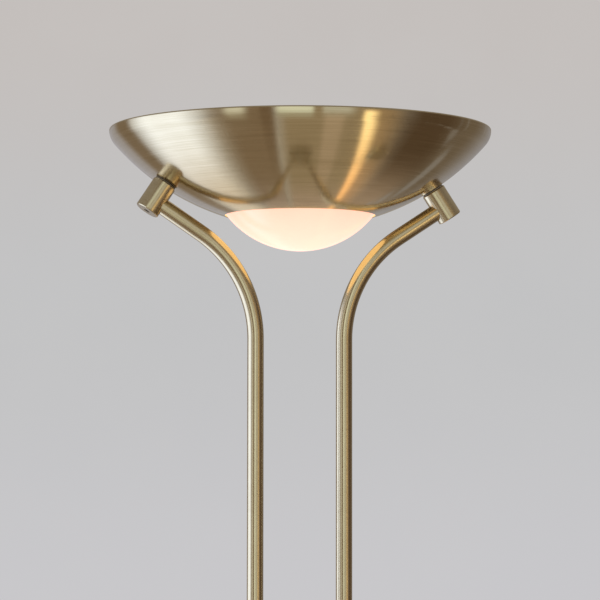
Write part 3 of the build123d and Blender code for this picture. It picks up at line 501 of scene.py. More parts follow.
def glowing(name, look):
    # opal or clear glass lit from inside: even below, a little pinker towards its upper edge
    material, tree, shader, place, _ = newMaterial(name)
    sizes = {"Size": glassLook["clouds"], "Specks": glassLook["specks"]}
    patina = placed(tree, "patina", Vector=place, **sizes)
    rise = remapped(tree, separated(tree, place)[2], *look["rise"])
    cloudy = math(tree, "MULTIPLY", patina["Clouds"], glassLook["clouding"])
    colour = mixedColour(tree, rise, look["low"], look["high"])
    colour = mixedColour(tree, cloudy, colour, look["cloud"])
    # painted reflection: glossy rays get a warmer glow colour than the camera sees
    if "mirrored" in look:  # brass shows the glow warmer than the camera sees it
        glossy = addNode(tree, "ShaderNodeLightPath").outputs["Is Glossy Ray"]
        colour = mixedColour(tree, glossy, colour, look["mirrored"])
    feed(tree, shader["Emission Color"], colour)
    shader["Emission Strength"].default_value = look["strength"]
    feed(tree, shader["Base Color"], mixedColour(tree, cloudy, look["body"], look["cloud"]))
    rough = math(tree, "MULTIPLY_ADD", patina["Clouds"], glassLook["dulled"], look["roughness"])
    feed(tree, shader["Roughness"], rough)
    return material


metals = {
    # light, dark, roughness, and perhaps how metallic and the tooth's depth in mm
    "plated_steel": ((0.60, 0.60, 0.58), (0.44, 0.43, 0.41), 0.28),
    "grub_steel": ((0.045, 0.042, 0.04), (0.02, 0.019, 0.018), 0.40, 0.7),
    "cast_weight": ((0.09, 0.09, 0.095), (0.05, 0.048, 0.046), 0.62, 0.3, 0.08),
}
mouldings = {
    # light, dark, roughness, and perhaps the coat, the grain's scale and its depth in mm
    "foot_foam": ((0.035, 0.036, 0.038), (0.02, 0.02, 0.022), 0.85, 0.0, 900.0, 0.12),
    "black_nylon": ((0.028, 0.027, 0.026), (0.016, 0.016, 0.016), 0.42),
    # a nylon spacer whose dark brown is partly painted shade, standing for the shadow gap under each
    # mount
    "spacer_nylon": ((0.20, 0.16, 0.11), (0.15, 0.12, 0.08), 0.38),
    "white_plastic": ((0.78, 0.77, 0.73), (0.68, 0.66, 0.61), 0.40),
    "lead_sleeve": ((0.62, 0.58, 0.50), (0.50, 0.46, 0.38), 0.55),
    "circuit_board": ((0.05, 0.16, 0.08), (0.03, 0.11, 0.055), 0.35, 0.2),
    "white_ceramic": ((0.80, 0.79, 0.75), (0.70, 0.69, 0.64), 0.32, 0.3),
}
glows = {
    # rise: the heights in metres between which the low colour turns into the high one
    "opal_glass": {
        "low": (1.0, 0.535, 0.405),
        "high": (1.0, 0.42, 0.30),
        "rise": (1.7061, 1.7400),
        "cloud": (1.0, 0.55, 0.42),
        # the glow's colour for glossy rays only, a painted reflection on the brass
        "mirrored": (1.0, 0.66, 0.27),
        "body": (0.26, 0.24, 0.22),
        "strength": 1.4,
        "roughness": 0.22,
    },
    "reader_opal": {
        "low": (1.0, 0.90, 0.78),
        "high": (1.0, 0.90, 0.78),
        "rise": (1.2321, 1.2351),
        "cloud": (1.0, 0.94, 0.86),
        "body": (0.78, 0.76, 0.72),
        "strength": 0.10,
        "roughness": 0.30,
    },
    "lamp_glass": {
        "low": (1.0, 0.78, 0.52),
        "high": (1.0, 0.82, 0.60),
        "rise": (1.7735, 1.7835),
        "cloud": (1.0, 0.86, 0.70),
        "body": (0.6, 0.6, 0.58),
        "strength": 9.0,
        "roughness": 0.12,
    },
}
materials = {name: brass(name, *values) for name, values in brassKinds.items()}
materials.update({name: plainMetal(name, *values) for name, values in metals.items()})
materials.update({name: moulded(name, *values) for name, values in mouldings.items()})
materials.update({name: glowing(name, look) for name, look in glows.items()})
print("materials ready:", len(materials))

dish = {
    "rimHeight": 1800.0,
    "rimRadius": 147.5,
    "rimTurn": 14.5,  # radius of the small arc that turns the wall upright
    "bead": 1.3,
    "wall": 1.5,
    "arc": 191.0,
    "lipRadius": 58.0,
    "lipDrop": 66.8,
    "lipEdge": 0.35,
    "rows": 72,
    "turnRows": 24,
    "beadRows": 20,
    "beadSweep": 235,  # degrees
    "innerStart": -4,
    "segments": 288,
}


def crossing(first, firstRadius, second, secondRadius):
    # where two circles cross, left of the way from the first centre to the second
    wayR, wayZ = second[0] - first[0], second[1] - first[1]
    way = sqrt(wayR**2 + wayZ**2)
    along = (way**2 + firstRadius**2 - secondRadius**2) / (2 * way)
    across = sqrt(firstRadius**2 - along**2)
    return (
        first[0] + (along * wayR - across * wayZ) / way,
        first[1] + (along * wayZ + across * wayR) / way,
    )


def angleAt(centre, point):
    return degrees(atan2(point[1] - centre[1], point[0] - centre[0]))


dishLip = (dish["lipRadius"], dish["rimHeight"] - dish["lipDrop"])
dishTurn = (dish["rimRadius"] - dish["rimTurn"], dish["rimHeight"] - dish["bead"])
dishCentre = crossing(dishLip, dish["arc"], dishTurn, dish["arc"] - dish["rimTurn"])


def arcHeight(radius, r):
    return dishCentre[1] - sqrt(radius**2 - (r - dishCentre[0]) ** 2)


def dishAngle(radius, r):
    # where an arc round the dish's centre is r from the axis
    return angleAt(dishCentre, (r, arcHeight(radius, r)))


def edged(inner, outer, edge):
    # rounds the two corners between the end of one line and the start of the next
    return eased([inner[-2], (*inner[-1], edge), (*outer[0], edge), outer[1]])[1:-1]


def dishSection():
    lip, inside = dish["lipRadius"], dish["arc"] - dish["wall"]
    turnAngle = angleAt(dishTurn, dishCentre) - 180
    beadCentre = (dish["rimRadius"] - dish["bead"], dish["rimHeight"] - dish["bead"])
    outer = arc(dishCentre, dish["arc"], dishAngle(dish["arc"], lip), turnAngle, dish["rows"])
    outerTurn = arc(dishTurn, dish["rimTurn"], turnAngle, 0, dish["turnRows"])[1:]
    bead = arc(beadCentre, dish["bead"], 0, dish["beadSweep"], dish["beadRows"])[1:]
    turnInside = dish["rimTurn"] - dish["wall"]
    innerTurn = arc(dishTurn, turnInside, dish["innerStart"], turnAngle, dish["beadRows"])
    inner = arc(dishCentre, inside, turnAngle, dishAngle(inside, lip), dish["rows"])[1:]
    lipEnd = edged(inner, outer, dish["lipEdge"])
    return [*outer[1:], *outerTurn, *bead, *innerTurn, *inner[:-1], *lipEnd, outer[1]]


dishRows = spunRows(dishSection())
bowlMesh = turnedMesh("uplighterDish", dishRows, materials["bowl_brass"], dish["segments"])
shown("uplighterDish", bowlMesh, "uplighter_bowl")
print("dish spun:", len(bowlMesh.polygons), "faces")

glass = {
    "drop": 93.9,
    "wall": 3.0,
    "gap": 1.6,
    "flangeRadius": 67.5,
    "seat": 0.25,
    "edge": 0.9,
    "rows": 40,
    "flangeRows": 8,
    "segments": 192,
}


def glassSection():
    depth = glass["drop"] - dish["lipDrop"]
    lip = dish["lipRadius"] - glass["gap"]
    radius = (lip**2 + depth**2) / (2 * depth)
    centre = (0.0, dish["rimHeight"] - glass["drop"] + radius)
    underRadius = dish["arc"] - dish["wall"] - glass["seat"]
    overRadius = underRadius - glass["wall"]
    under = crossing(dishCentre, underRadius, centre, radius)
    over = crossing(dishCentre, overRadius, centre, radius - glass["wall"])
    endUnder = dishAngle(underRadius, glass["flangeRadius"])
    rows, few = glass["rows"], glass["flangeRows"]
    lower = arc(centre, radius, -90, angleAt(centre, under), rows)
    underArc = arc(dishCentre, underRadius, angleAt(dishCentre, under), endUnder, few)[1:]
    overArc = arc(dishCentre, overRadius, endUnder, angleAt(dishCentre, over), few)
    upper = arc(centre, radius - glass["wall"], angleAt(centre, over), -90, rows)[1:]
    edge = edged(underArc, overArc, glass["edge"])
    return [*lower, *underArc[:-1], *edge, *overArc[1:], *upper]


glassRows = spunRows(glassSection())
glassMesh = turnedMesh("uplighterGlass", glassRows, materials["opal_glass"], glass["segments"])
shown("uplighterGlass", glassMesh, "uplighter_glass")

stem = {
    "radius": 6.35,
    "spacing": 70.0,
    "bend": 97.0,
    "foot": 20.0,
    "seams": (480.0, 940.0),
    "bars": (480.0, 1180.0),
    "mountTilt": 56.5,
    "tubeAt": 16.25,  # from the dish's wall to the tube's axis, along the mount
    "intoMount": 5.1,
    "seamHold": 3,  # a row this near each seam keeps the shading straight
    "mountHold": 2,
    "bendRows": 48,
    "segments": 64,
    "seamBevel": 0.35,
}
tilt = radians(stem["mountTilt"])
footX = dishCentre[0] + dish["arc"] * cos(tilt)
footZ = dishCentre[1] - dish["arc"] * sin(tilt)
stemX = stem["spacing"] / 2


def straightStations(side, low, high):
    places = (low, low + stem["seamHold"], high - stem["seamHold"], high)
    return [(Vector((side * stemX, 0, z)) * mm, acrossX) for z in places]


def upperStations(side):
    # from the seam up, round the bend and into the mount
    slant, way = Vector((sin(tilt), 0, cos(tilt))), Vector((cos(tilt), 0, -sin(tilt)))
    # plain numbers keep more digits here than a Vector does
    socket = Vector((footX + stem["tubeAt"] * cos(tilt), 0, footZ - stem["tubeAt"] * sin(tilt)))
    corner = Vector((stemX, 0, socket.z - (socket.x - stemX) / tan(tilt)))
    reach = stem["bend"] * tan(tilt / 2)
    bendStart = corner - up * reach
    centre = bendStart + acrossX * stem["bend"]
    seam = Vector((stemX, 0, stem["seams"][1]))
    end = socket + slant * stem["intoMount"]
    stations = [(place, acrossX) for place in (seam, seam + up * stem["seamHold"], bendStart)]
    for i in range(1, stem["bendRows"] + 1):
        a = tilt * i / stem["bendRows"]
        outwards = Vector((cos(a), 0, -sin(a)))
        stations.append((centre - outwards * stem["bend"], outwards))
    stations += [(end - slant * stem["mountHold"], way), (end, way)]
    flip = Vector((side, 1, 1))
    return [(place * flip * mm, way * flip) for place, way in stations]


for sideName, side in (("left", -1), ("right", 1)):
    pieces = {
        "lower": straightStations(side, stem["foot"], stem["seams"][0]),
        "middle": straightStations(side, *stem["seams"]),
        "upper": upperStations(side),
    }
    for part, stations in pieces.items():
        name = f"{part}Stem{sideName.capitalize()}"
        rows = tubeRows(stations, stem["radius"] * mm, stem["seamBevel"])
        mesh = turnedMesh(name, rows, materials["tube_brass"], stem["segments"])
        shown(name, mesh, f"{part}_stem_{sideName}")
print("stems drawn")


def wrapMap(mesh, lines):
    # a map round the nearest of some axes, so that the brushing runs round the piece
    frames = []
    for origin, axis in lines:
        axis = Vector(axis).normalized()
        across = axis.orthogonal().normalized()
        frames.append((Vector(origin) * mm, axis, across, axis.cross(across)))
    layer = mesh.uv_layers.get("turned") or mesh.uv_layers.new(name="turned")
    for face in mesh.polygons:
        middle = Vector(face.center)
        nearest = min(frames, key=lambda frame: (middle - frame[0]).cross(frame[1]).length)
        origin, axis, across, side = nearest
        turns = []
        for index in face.vertices:
            way = mesh.vertices[index].co - origin
            along = way.dot(axis)
            turn = atan2(way.dot(side), way.dot(across)) / (2 * pi)
            turns.append((turn, along + (way - axis * along).length))
        base = turns[0][0]
        for loop, (turn, along) in zip(face.loop_indices, turns):
            # no face may reach across the seam of the map
            layer.data[loop].uv = (turn + round(base - turn), along)


finish = {"bevelSegments": 2, "bevelFrom": 35, "flat": 0.4, "double": 0.0005}  # degrees, mm


def finishedMesh(name, mesh, material, bevel, cutter=None):
    # breaks the edges and evens the shading, then keeps a plain mesh
    if mesh.attributes.get("custom_normal"):
        mesh.attributes.remove(mesh.attributes["custom_normal"])
    mesh.polygons.foreach_set("use_smooth", [True] * len(mesh.polygons))
    mesh.materials.clear()
    mesh.materials.append(material)
    mesh.polygons.foreach_set("material_index", [0] * len(mesh.polygons))
    holder = linked(name + "_bare", mesh)
    if cutter:
        cut = holder.modifiers.new("cut", "BOOLEAN")
        cut.object = cutter
        cut.solver = "EXACT"
    if bevel:
        edges = holder.modifiers.new("edges", "BEVEL")
        edges.width = bevel * mm
        edges.segments = finish["bevelSegments"]
        edges.limit_method = "ANGLE"
        edges.angle_limit = radians(finish["bevelFrom"])
        edges.miter_outer = "MITER_ARC"
    faces = holder.modifiers.new("faces", "WEIGHTED_NORMAL")
    faces.keep_sharp = True
    return keptMesh(name, holder)


def dressed(nodeName, look, bevel, *wraps):
    # a copy of a CAD node with a fine bevel, named after the node
    first, *rest = nodeName.split("_")
    name = first + "".join(word.capitalize() for word in rest)
    work = bmesh.new()
    work.from_mesh(cadNodes[nodeName].data)
    bmesh.ops.remove_doubles(work, verts=work.verts, dist=finish["double"] * mm)
    # flat faces lose their triangles, so that the bevel and the shading come out even
    bmesh.ops.dissolve_limit(
        work,
        angle_limit=radians(finish["flat"]),
        verts=work.verts,
        edges=work.edges,
        use_dissolve_boundaries=False,
    )
    mesh = bpy.data.meshes.new(name)
    work.to_mesh(mesh)
    work.free()
    final = finishedMesh(name, mesh, materials[look], bevel)
    if wraps:
        wrapMap(final, wraps)
    shown(name, final, nodeName)


def mountLine(side):
    return (side * footX, 0, footZ), (side * cos(tilt), 0, -sin(tilt))


mountLines = [mountLine(-1), mountLine(1)]
stemLines = [((side * stemX, 0, 0), (0, 0, 1)) for side in (-1, 1)]
armPivot, headPivot = (
    (low + high) / 2 / mm for low, high in (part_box("arm_pivot_pin"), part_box("head_pivot_pin"))
)
armLine = (armPivot, (headPivot - armPivot).normalized())
spacerLine, bridgeLine = (((0, 0, z), (1, 0, 0)) for z in stem["bars"])
baseLine, swivelLine = (((0, y, 0), (0, 0, 1)) for y in (0, -26))

dressedPieces = (
    # CAD node, material, bevel in mm, and the axes that the brushing runs round
    ("left_bowl_mount", "block_brass", 0.2, *mountLines),
    ("right_bowl_mount", "block_brass", 0.2, *mountLines),
    # the spacer's dark brown is partly painted shade for the gap under the mount
    ("mount_spacers", "spacer_nylon", 0.08),
    ("mount_nuts", "plated_steel", 0.25),
    ("mount_washers", "plated_steel", 0.12),
    ("mount_nipples", "plated_steel", 0.2),
    ("stem_spacer", "bar_brass", 0.25, spacerLine),
    ("reader_bridge", "bar_brass", 0.25, bridgeLine),
    ("base_cover", "disc_brass", 0.2, baseLine),
    ("base_pad", "foot_foam", 0.4),
    ("stem_collars", "bar_brass", 0.5, *stemLines),
    ("cord_grommet", "black_nylon", 0.25),
    ("dimmer_front_case", "sheet_brass", 0.15),
    ("dimmer_rear_case", "sheet_brass", 0.15),
    ("swivel_post", "bar_brass", 0.2, swivelLine),
    ("swivel_washers", "black_nylon", 0.1),
    ("swivel_nut", "plated_steel", 0.3),
    ("arm_pivot_pin", "plated_steel", 0.15),
    ("arm_root_eye", "bar_brass", 0.2, armLine),
    ("reader_arm", "bar_brass", 0.0, armLine),
    ("arm_tip_fork", "bar_brass", 0.2, armLine),
    ("head_pivot_pin", "plated_steel", 0.15),
    ("head_eye", "bar_brass", 0.2, (headPivot, (0, 0, 1))),
    ("lamp_bracket", "plated_steel", 0.15),
    ("glass_springs", "plated_steel", 0.08),
    ("lampholders", "white_ceramic", 0.35),
)
for piece in dressedPieces:
    dressed(*piece)
print("mounts, bars, case and joints dressed:", len(dressedPieces))

reader = {
    "cupRadius": 17.0,
    "cupLength": 42.0,
    "cupWall": 1.2,
    "shoulder": 5.0,
    "neck": 24.0,
    "bore": 3.95,
    "shadeMouth": 52.0,
    "shadeDepth": 38.0,
    "shadeTop": 58.0,
    "shadeArc": 62.0,
    "shadeWall": 1.0,
    "shadeBead": 1.2,
    "shadeEdge": 0.2,
    "neckGap": 0.05,
    "outerStop": 0.6,  # degrees short of the bead's middle
    "innerStart": 1.0,
    "beadTurn": (60, -215),
    "shadeRows": 36,
    "beadRows": 24,
    "diffuserUp": 6.0,
    "diffuser": 3.0,
    "diffuserEdge": 0.75,
    "diffuserGap": 0.6,
    "ring": 1.6,
    "ringEdge": 0.3,
    "segments": 128,
}
pivot = headPivot * mm


def cupSection():
    # radius and height under the head's pin, up the outside and down the inside
    r, wall, bore, shoulder = reader["cupRadius"], reader["cupWall"], reader["bore"], reader["shoulder"]
    top, low = -reader["neck"], -reader["neck"] - reader["cupLength"]
    outside = [(r, top, shoulder), (bore, top, 0.2), (bore, top - wall, 0.2)]
    inside = [(r - wall, top - wall, shoulder - wall), (r - wall, low, 0.3), (r, low, 0.3)]
    middle = (r, (low + top) / 2)
    return eased([middle, *outside, *inside, middle], steps=6)


def shadeSection():
    bead, wall, arcR = reader["shadeBead"], reader["shadeWall"], reader["shadeArc"]
    neck = (reader["cupRadius"] + reader["neckGap"], -reader["shadeTop"])
    beadCentre = (reader["shadeMouth"] - bead, bead - reader["shadeTop"] - reader["shadeDepth"])
    rim = (beadCentre[0] + wall / 2, beadCentre[1])
    centre = crossing(rim, arcR, neck, arcR)
    neckInner = (neck[0], centre[1] + sqrt((arcR - wall) ** 2 - (neck[0] - centre[0]) ** 2))
    first, last, lastInner = (angleAt(centre, point) for point in (rim, neck, neckInner))
    outer = arc(centre, arcR, last, first + reader["outerStop"], reader["shadeRows"])
    rolled = arc(beadCentre, bead, *reader["beadTurn"], reader["beadRows"])
    innerStart = first + reader["innerStart"]
    inner = arc(centre, arcR - wall, innerStart, lastInner, reader["shadeRows"])
    points = [*outer[1:], *rolled, *inner[:-1], *edged(inner, outer, reader["shadeEdge"]), outer[1]]
    return points, centre


shadePoints, shadeCentre = shadeSection()


def shadeInner(depth):
    radius, rise = reader["shadeArc"] - reader["shadeWall"], -depth - shadeCentre[1]
    return shadeCentre[0] + sqrt(radius**2 - rise**2)


diffuserLow = reader["shadeTop"] + reader["shadeDepth"] - reader["diffuserUp"]
diffuserTop = diffuserLow - reader["diffuser"]
diffuserRadius = shadeInner(diffuserTop) - reader["diffuserGap"]
ringRadius = shadeInner(diffuserLow) - reader["diffuserGap"] / 2
ringInner = ringRadius - 2 * reader["ring"]
ringLow = diffuserLow + reader["ring"]
ringMiddle = (ringRadius, -(diffuserLow + ringLow) / 2)
diffuserCorners = [(diffuserRadius, -z, reader["diffuserEdge"]) for z in (diffuserTop, diffuserLow)]
ringCorners = [
    (r, -z, reader["ringEdge"])
    for r, z in (
        (ringRadius, diffuserLow),
        (ringInner, diffuserLow),
        (ringInner, ringLow),
        (ringRadius, ringLow),
    )
]
turnedPieces = (
    ("headCup", "head_cup", cupSection(), "spun_brass"),
    ("readerShade", "reader_shade", shadePoints, "spun_brass"),
    (
        "readerDiffuser",
        "reader_diffuser",
        eased([(0, -diffuserTop), *diffuserCorners, (0, -diffuserLow)]),
        "reader_opal",
    ),
    ("diffuserRing", "diffuser_ring", eased([ringMiddle, *ringCorners, ringMiddle]), "spun_brass"),
)
for name, nodeName, points, look in turnedPieces:
    mesh = turnedMesh(name, spunRows(points, pivot), materials[look], reader["segments"])
    shown(name, mesh, nodeName)
print("reading light turned:", len(turnedPieces), "pieces")

knob = {
    "radius": 10.5,
    "length": 14.0,
    "edge": 0.8,
    "skirtRadius": 12.0,
    "skirt": 2.5,
    "flutes": 24,
    "fluteDepth": 0.7,
    "recessRadius": 6.5,
    "recess": 4.0,
    "boreRadius": 3.05,
    "bore": 12.05,
    "spacing": 29.0,
    "back": 18.4,  # from the stems' plane to the knob's back
    "height": 1010.0,
    "markWidth": 1.0,
    "markDepth": 0.5,
    "markFrom": 1.5,
    "ribStart": 0.5,
    "ribRise": 0.6,
    "rowsEach": 8,
}


def knobSection():
    r, front, skirt = knob["radius"], knob["length"], knob["skirt"]
    return eased(
        [
            (0, knob["bore"]),
            (knob["boreRadius"], knob["bore"], 0.1),
            (knob["boreRadius"], knob["recess"], 0.2),
            (knob["recessRadius"], knob["recess"], 0.2),
            (knob["recessRadius"], 0, 0.3),
            (knob["skirtRadius"], 0, 0.4),
            (knob["skirtRadius"], skirt, 0.6),
            (r, skirt, 0.25),
            (r, front, knob["edge"]),
            (0, front),
        ]
    )


def knobRibs(r, z):
    # flutes run from just above the skirt to the front edge
    if r <= knob["radius"] - 0.75 * knob["edge"]:
        return 0.0
    return min(1.0, max(0.0, (z - knob["skirt"] - knob["ribStart"]) / knob["ribRise"]))


def barMesh(name, low, high):
    mesh = bpy.data.meshes.new(name)
    spans = list(zip(low, high))
    places = [Vector((x, y, z)) * mm for x in spans[0] for y in spans[1] for z in spans[2]]
    sides = [(0, 1, 3, 2), (4, 6, 7, 5), (0, 4, 5, 1), (2, 3, 7, 6), (0, 2, 6, 4), (1, 5, 7, 3)]
    mesh.from_pydata(places, [], sides)
    return mesh


for sideName, side in (("left", -1), ("right", 1)):
    name, x = f"{sideName}DimmerKnob", side * knob["spacing"] / 2
    origin = Vector((x, -knob["back"], knob["height"])) * mm
    rows = spunRows(knobSection(), origin, -sideY, knobRibs)
    fluting = (knob["flutes"], knob["fluteDepth"] * mm)
    segments = knob["flutes"] * knob["rowsEach"]
    bare = turnedMesh(f"{sideName}KnobBare", rows, materials["knob_brass"], segments, up, *fluting)
    front, half = -knob["back"] - knob["length"], knob["markWidth"] / 2
    # the mark is cut from near the knob's middle out past its edge
    low = (x - half, front - 1, knob["height"] + knob["markFrom"])
    high = (x + half, front + knob["markDepth"], knob["height"] + knob["radius"] + 1)
    cutter = linked("mark", barMesh("mark", low, high))
    mesh = finishedMesh(name, bare, materials["knob_brass"], 0.0, cutter)
    bpy.data.objects.remove(cutter)
    shown(name, mesh, f"{sideName}_dimmer_knob")
print("knobs fluted")


def buildScrewTree():
    # one screw with a hexagon or cross recess, set on every point along the point's axis
    sizes = (
        "Head Radius",
        "Head Length",
        "Shank Radius",
        "Shank Length",
        "Recess Width",
        "Recess Depth",
        "Cross Width",
    )
    tree, given = newShapeTree("screws", {**dict.fromkeys(sizes, "Float"), "Cross": "Bool"})

    def drum(radius, length, segments, lift):
        inputs = {"Vertices": segments, "Radius": radius, "Depth": length}
        mesh = made(tree, "GeometryNodeMeshCylinder", inputs, fill_type="NGON")
        inputs = {"Geometry": mesh, "Translation": combined(tree, 0.0, 0.0, lift)}
        return made(tree, "GeometryNodeTransform", inputs)

    length, deep = given["Head Length"], math(tree, "MULTIPLY", given["Recess Depth"], 2.0)
    head = drum(given["Head Radius"], length, 48, math(tree, "MULTIPLY", length, -0.5))
    # a hexagon's corners lie further out than half its width across the flats
    hexagon = drum(math(tree, "MULTIPLY", given["Recess Width"], 0.57735), deep, 6, 0.0)
    kind = "GeometryNodeMeshBoolean"
    crossed = addNode(tree, kind, operation="UNION", solver="EXACT")
    for first, second in (("Recess Width", "Cross Width"), ("Cross Width", "Recess Width")):
        size = combined(tree, given[first], given[second], deep)
        feed(tree, crossed.inputs["Mesh 2"], made(tree, "GeometryNodeMeshCube", {"Size": size}))
    inputs = {"Switch": given["Cross"], "False": hexagon, "True": crossed.outputs["Mesh"]}
    recess = made(tree, "GeometryNodeSwitch", inputs, input_type="GEOMETRY")
    inputs = {"Mesh 1": head, "Mesh 2": recess}
    cut = made(tree, kind, inputs, operation="DIFFERENCE", solver="EXACT")
    # the shank starts just inside the head, so that the two join
    lift = math(tree, "MULTIPLY", length, -0.98)
    lift = math(tree, "MULTIPLY_ADD", given["Shank Length"], -0.5, lift)
    shank = drum(given["Shank Radius"], given["Shank Length"], 32, lift)
    whole = addNode(tree, "GeometryNodeJoinGeometry")
    for part in (cut, shank):
        feed(tree, whole.inputs[0], part)
    kind = "GeometryNodeInputNamedAttribute"
    axis = made(tree, kind, {"Name": "axis"}, data_type="FLOAT_VECTOR")
    aimed = made(tree, "FunctionNodeAlignRotationToVector", {"Vector": axis}, axis="Z")
    inputs = {"Points": given["Geometry"], "Instance": whole.outputs[0], "Rotation": aimed}
    screws = made(tree, "GeometryNodeInstanceOnPoints", inputs)
    return closeShapeTree(tree, given, screws)


screwTree = buildScrewTree()


def screwMesh(name, places, material, bevel, sizes):
    # places: (outer end in mm, way it points)
    source = bpy.data.meshes.new(name + "_points")
    source.from_pydata([Vector(place) * mm for place, _ in places], [], [])
    axes = source.attributes.new("axis", "FLOAT_VECTOR", "POINT")
    axes.data.foreach_set("vector", [part for _, way in places for part in way])
    inputs = {label: value if label == "Cross" else value * mm for label, value in sizes.items()}
    mesh = plainMesh(name, source, screwTree, {**inputs, "Material": material})
    return finishedMesh(name, mesh, material, bevel)


screwStage = {
    "mountEnd": 26.05,  # from the dish's wall
    "barEnd": 50.0,
    "sunk": 0.4,
    "caseX": 45.275,
    "caseBack": 16.95,
    "caseUp": 9.0,
}
grubSizes = {
    "Head Radius": 2.5,
    "Shank Radius": 2.2,
    "Shank Length": 0.1,
    "Recess Width": 2.5,
    "Recess Depth": 2.0,
    "Cross Width": 0.5,
    "Cross": False,
}
caseScrewSizes = {
    "Head Radius": 2.9,
    "Head Length": 2.15,
    "Shank Radius": 1.5,
    "Shank Length": 21.7,
    "Recess Width": 4.0,
    "Recess Depth": 1.1,
    "Cross Width": 0.7,
    "Cross": True,
}
barEnd, mountEnd = (screwStage[key] - screwStage["sunk"] for key in ("barEnd", "mountEnd"))
mountPlaces = [(Vector(foot) + Vector(way) * mountEnd, way) for foot, way in mountLines]
barPlaces, casePlaces = [], []
for side in (-1, 1):
    barPlaces += [((side * barEnd, 0, z), (side, 0, 0)) for z in stem["bars"]]
    x, y = side * screwStage["caseX"], screwStage["caseBack"]
    heights = (knob["height"] + level * screwStage["caseUp"] for level in (-1, 1))
    casePlaces += [((x, y, z), (0, 1, 0)) for z in heights]
mountSizes, barSizes = ({**grubSizes, "Head Length": length} for length in (2.9, 8.1))
screwSets = (
    # name, CAD node, places, material, bevel in mm, sizes
    ("mountGrubScrews", "mount_grub_screws", mountPlaces, "grub_steel", 0.08, mountSizes),
    ("barGrubScrews", "bar_grub_screws", barPlaces, "grub_steel", 0.08, barSizes),
    ("dimmerCaseScrews", "dimmer_case_screws", casePlaces, "plated_steel", 0.12, caseScrewSizes),
)
for name, nodeName, places, look, bevel, sizes in screwSets:
    shown(name, screwMesh(name, places, materials[look], bevel, sizes), nodeName)
print("screws set:", len(screwSets), "kinds")

# what isn't replaced keeps its CAD mesh and takes its slot's material
slotMaterials = {"antique_brass": "sheet_brass", "opal_glass": "reader_opal"}
for name, thing in cadNodes.items():
    if not thing.hide_render:
        slotName = slotOf(name)
        thing.data.materials[0] = materials[slotMaterials.get(slotName, slotName)]
print("CAD nodes painted")

shot = {
    "distance": 2.53897,
    "height": 1.48155,
    "yaw": 0.23179,
    "pitch": 0.07337,
    "roll": -0.00123,
    "lens": 198.19,
    "sensor": 36.0,
    "clip": (0.05, 200.0),
}
forward = Vector((sin(shot["yaw"]), cos(shot["yaw"]), 0))
rightward = Vector((cos(shot["yaw"]), -sin(shot["yaw"]), 0))

cameraData = bpy.data.cameras.new("camera")
cameraData.lens = shot["lens"]
cameraData.sensor_width = shot["sensor"]
cameraData.clip_start, cameraData.clip_end = shot["clip"]
camera = linked("camera", cameraData)
camera.location = -forward * shot["distance"] + up * shot["height"]
look = (forward * cos(shot["pitch"]) + up * sin(shot["pitch"])).normalized()
camera.rotation_mode = "QUATERNION"
facing = look.to_track_quat("-Z", "Y")
camera.rotation_quaternion = facing @ Matrix.Rotation(-shot["roll"], 3, "Z").to_quaternion()
bpy.context.scene.camera = camera

wallLook = {
    "high": (0.552, 0.520, 0.502),
    "mid": (0.541, 0.541, 0.547),
    "low": (0.578, 0.573, 0.592),
    "bands": ((-0.02, 0.07), (0.07, 0.16)),  # where low turns into mid, and mid into high
    "cloud": (0.63, 0.62, 0.61),
    "cloudy": 0.10,
    "ambient": (1.0, 0.985, 0.965),
    "strength": 0.55,
}
floorLook = {
    "radius": 14.0,
    "corners": 64,
    "height": -0.0002,
    "colour": (0.60, 0.585, 0.57),
    "mottle": (0.66, 0.65, 0.64),
    "mottled": 0.15,
    "roughness": 0.8,
    "shine": 0.2,
    "fade": (1.6, 6.5),
}


def seenDirectly(tree):
    # camera, glossy and transmission rays see the backdrop's own colour
    path = addNode(tree, "ShaderNodeLightPath").outputs
    seen = math(tree, "MAXIMUM", path["Is Camera Ray"], path["Is Glossy Ray"])
    return math(tree, "MAXIMUM", seen, path["Is Transmission Ray"])


world = bpy.data.worlds.new("studio")
bpy.context.scene.world = world
tree = clearedTree(world)
direction = addNode(tree, "ShaderNodeTexCoord").outputs["Generated"]
height = separated(tree, direction)[2]
lowest, highest = (remapped(tree, height, *band) for band in wallLook["bands"])
wall = mixedColour(tree, lowest, wallLook["low"], wallLook["mid"])
wall = mixedColour(tree, highest, wall, wallLook["high"])
clouds = remapped(tree, noise(tree, direction, 16.0, 5.0, 0.6), 0.35, 0.7)
cloudy = math(tree, "MULTIPLY", clouds, wallLook["cloudy"])
wall = mixedColour(tree, cloudy, wall, wallLook["cloud"])
inputs = {"Color": wallLook["ambient"], "Strength": wallLook["strength"]}
ambient = made(tree, "ShaderNodeBackground", inputs)
seenWall = made(tree, "ShaderNodeBackground", {"Color": wall})
chosen = made(tree, "ShaderNodeMixShader", {0: seenDirectly(tree), 1: ambient, 2: seenWall})
addNode(tree, "ShaderNodeOutputWorld", {"Surface": chosen})

floorMesh = bpy.data.meshes.new("studioFloor")
turns = [2 * pi * i / floorLook["corners"] for i in range(floorLook["corners"])]
reach = floorLook["radius"]
ring = [(reach * cos(a), reach * sin(a), floorLook["height"]) for a in turns]
floorMesh.from_pydata(ring, [], [tuple(range(len(ring)))])
floor = linked("studioFloor", floorMesh)
floorMaterial, tree, shader, place, _ = newMaterial("studio_floor")
mottle = remapped(tree, noise(tree, place, 3.0, 5.0, 0.6), 0.3, 0.7, 0.0, floorLook["mottled"])
colour = mixedColour(tree, mottle, floorLook["colour"], floorLook["mottle"])
feed(tree, shader["Base Color"], colour)
shader["Roughness"].default_value = floorLook["roughness"]
shader["Specular IOR Level"].default_value = floorLook["shine"]
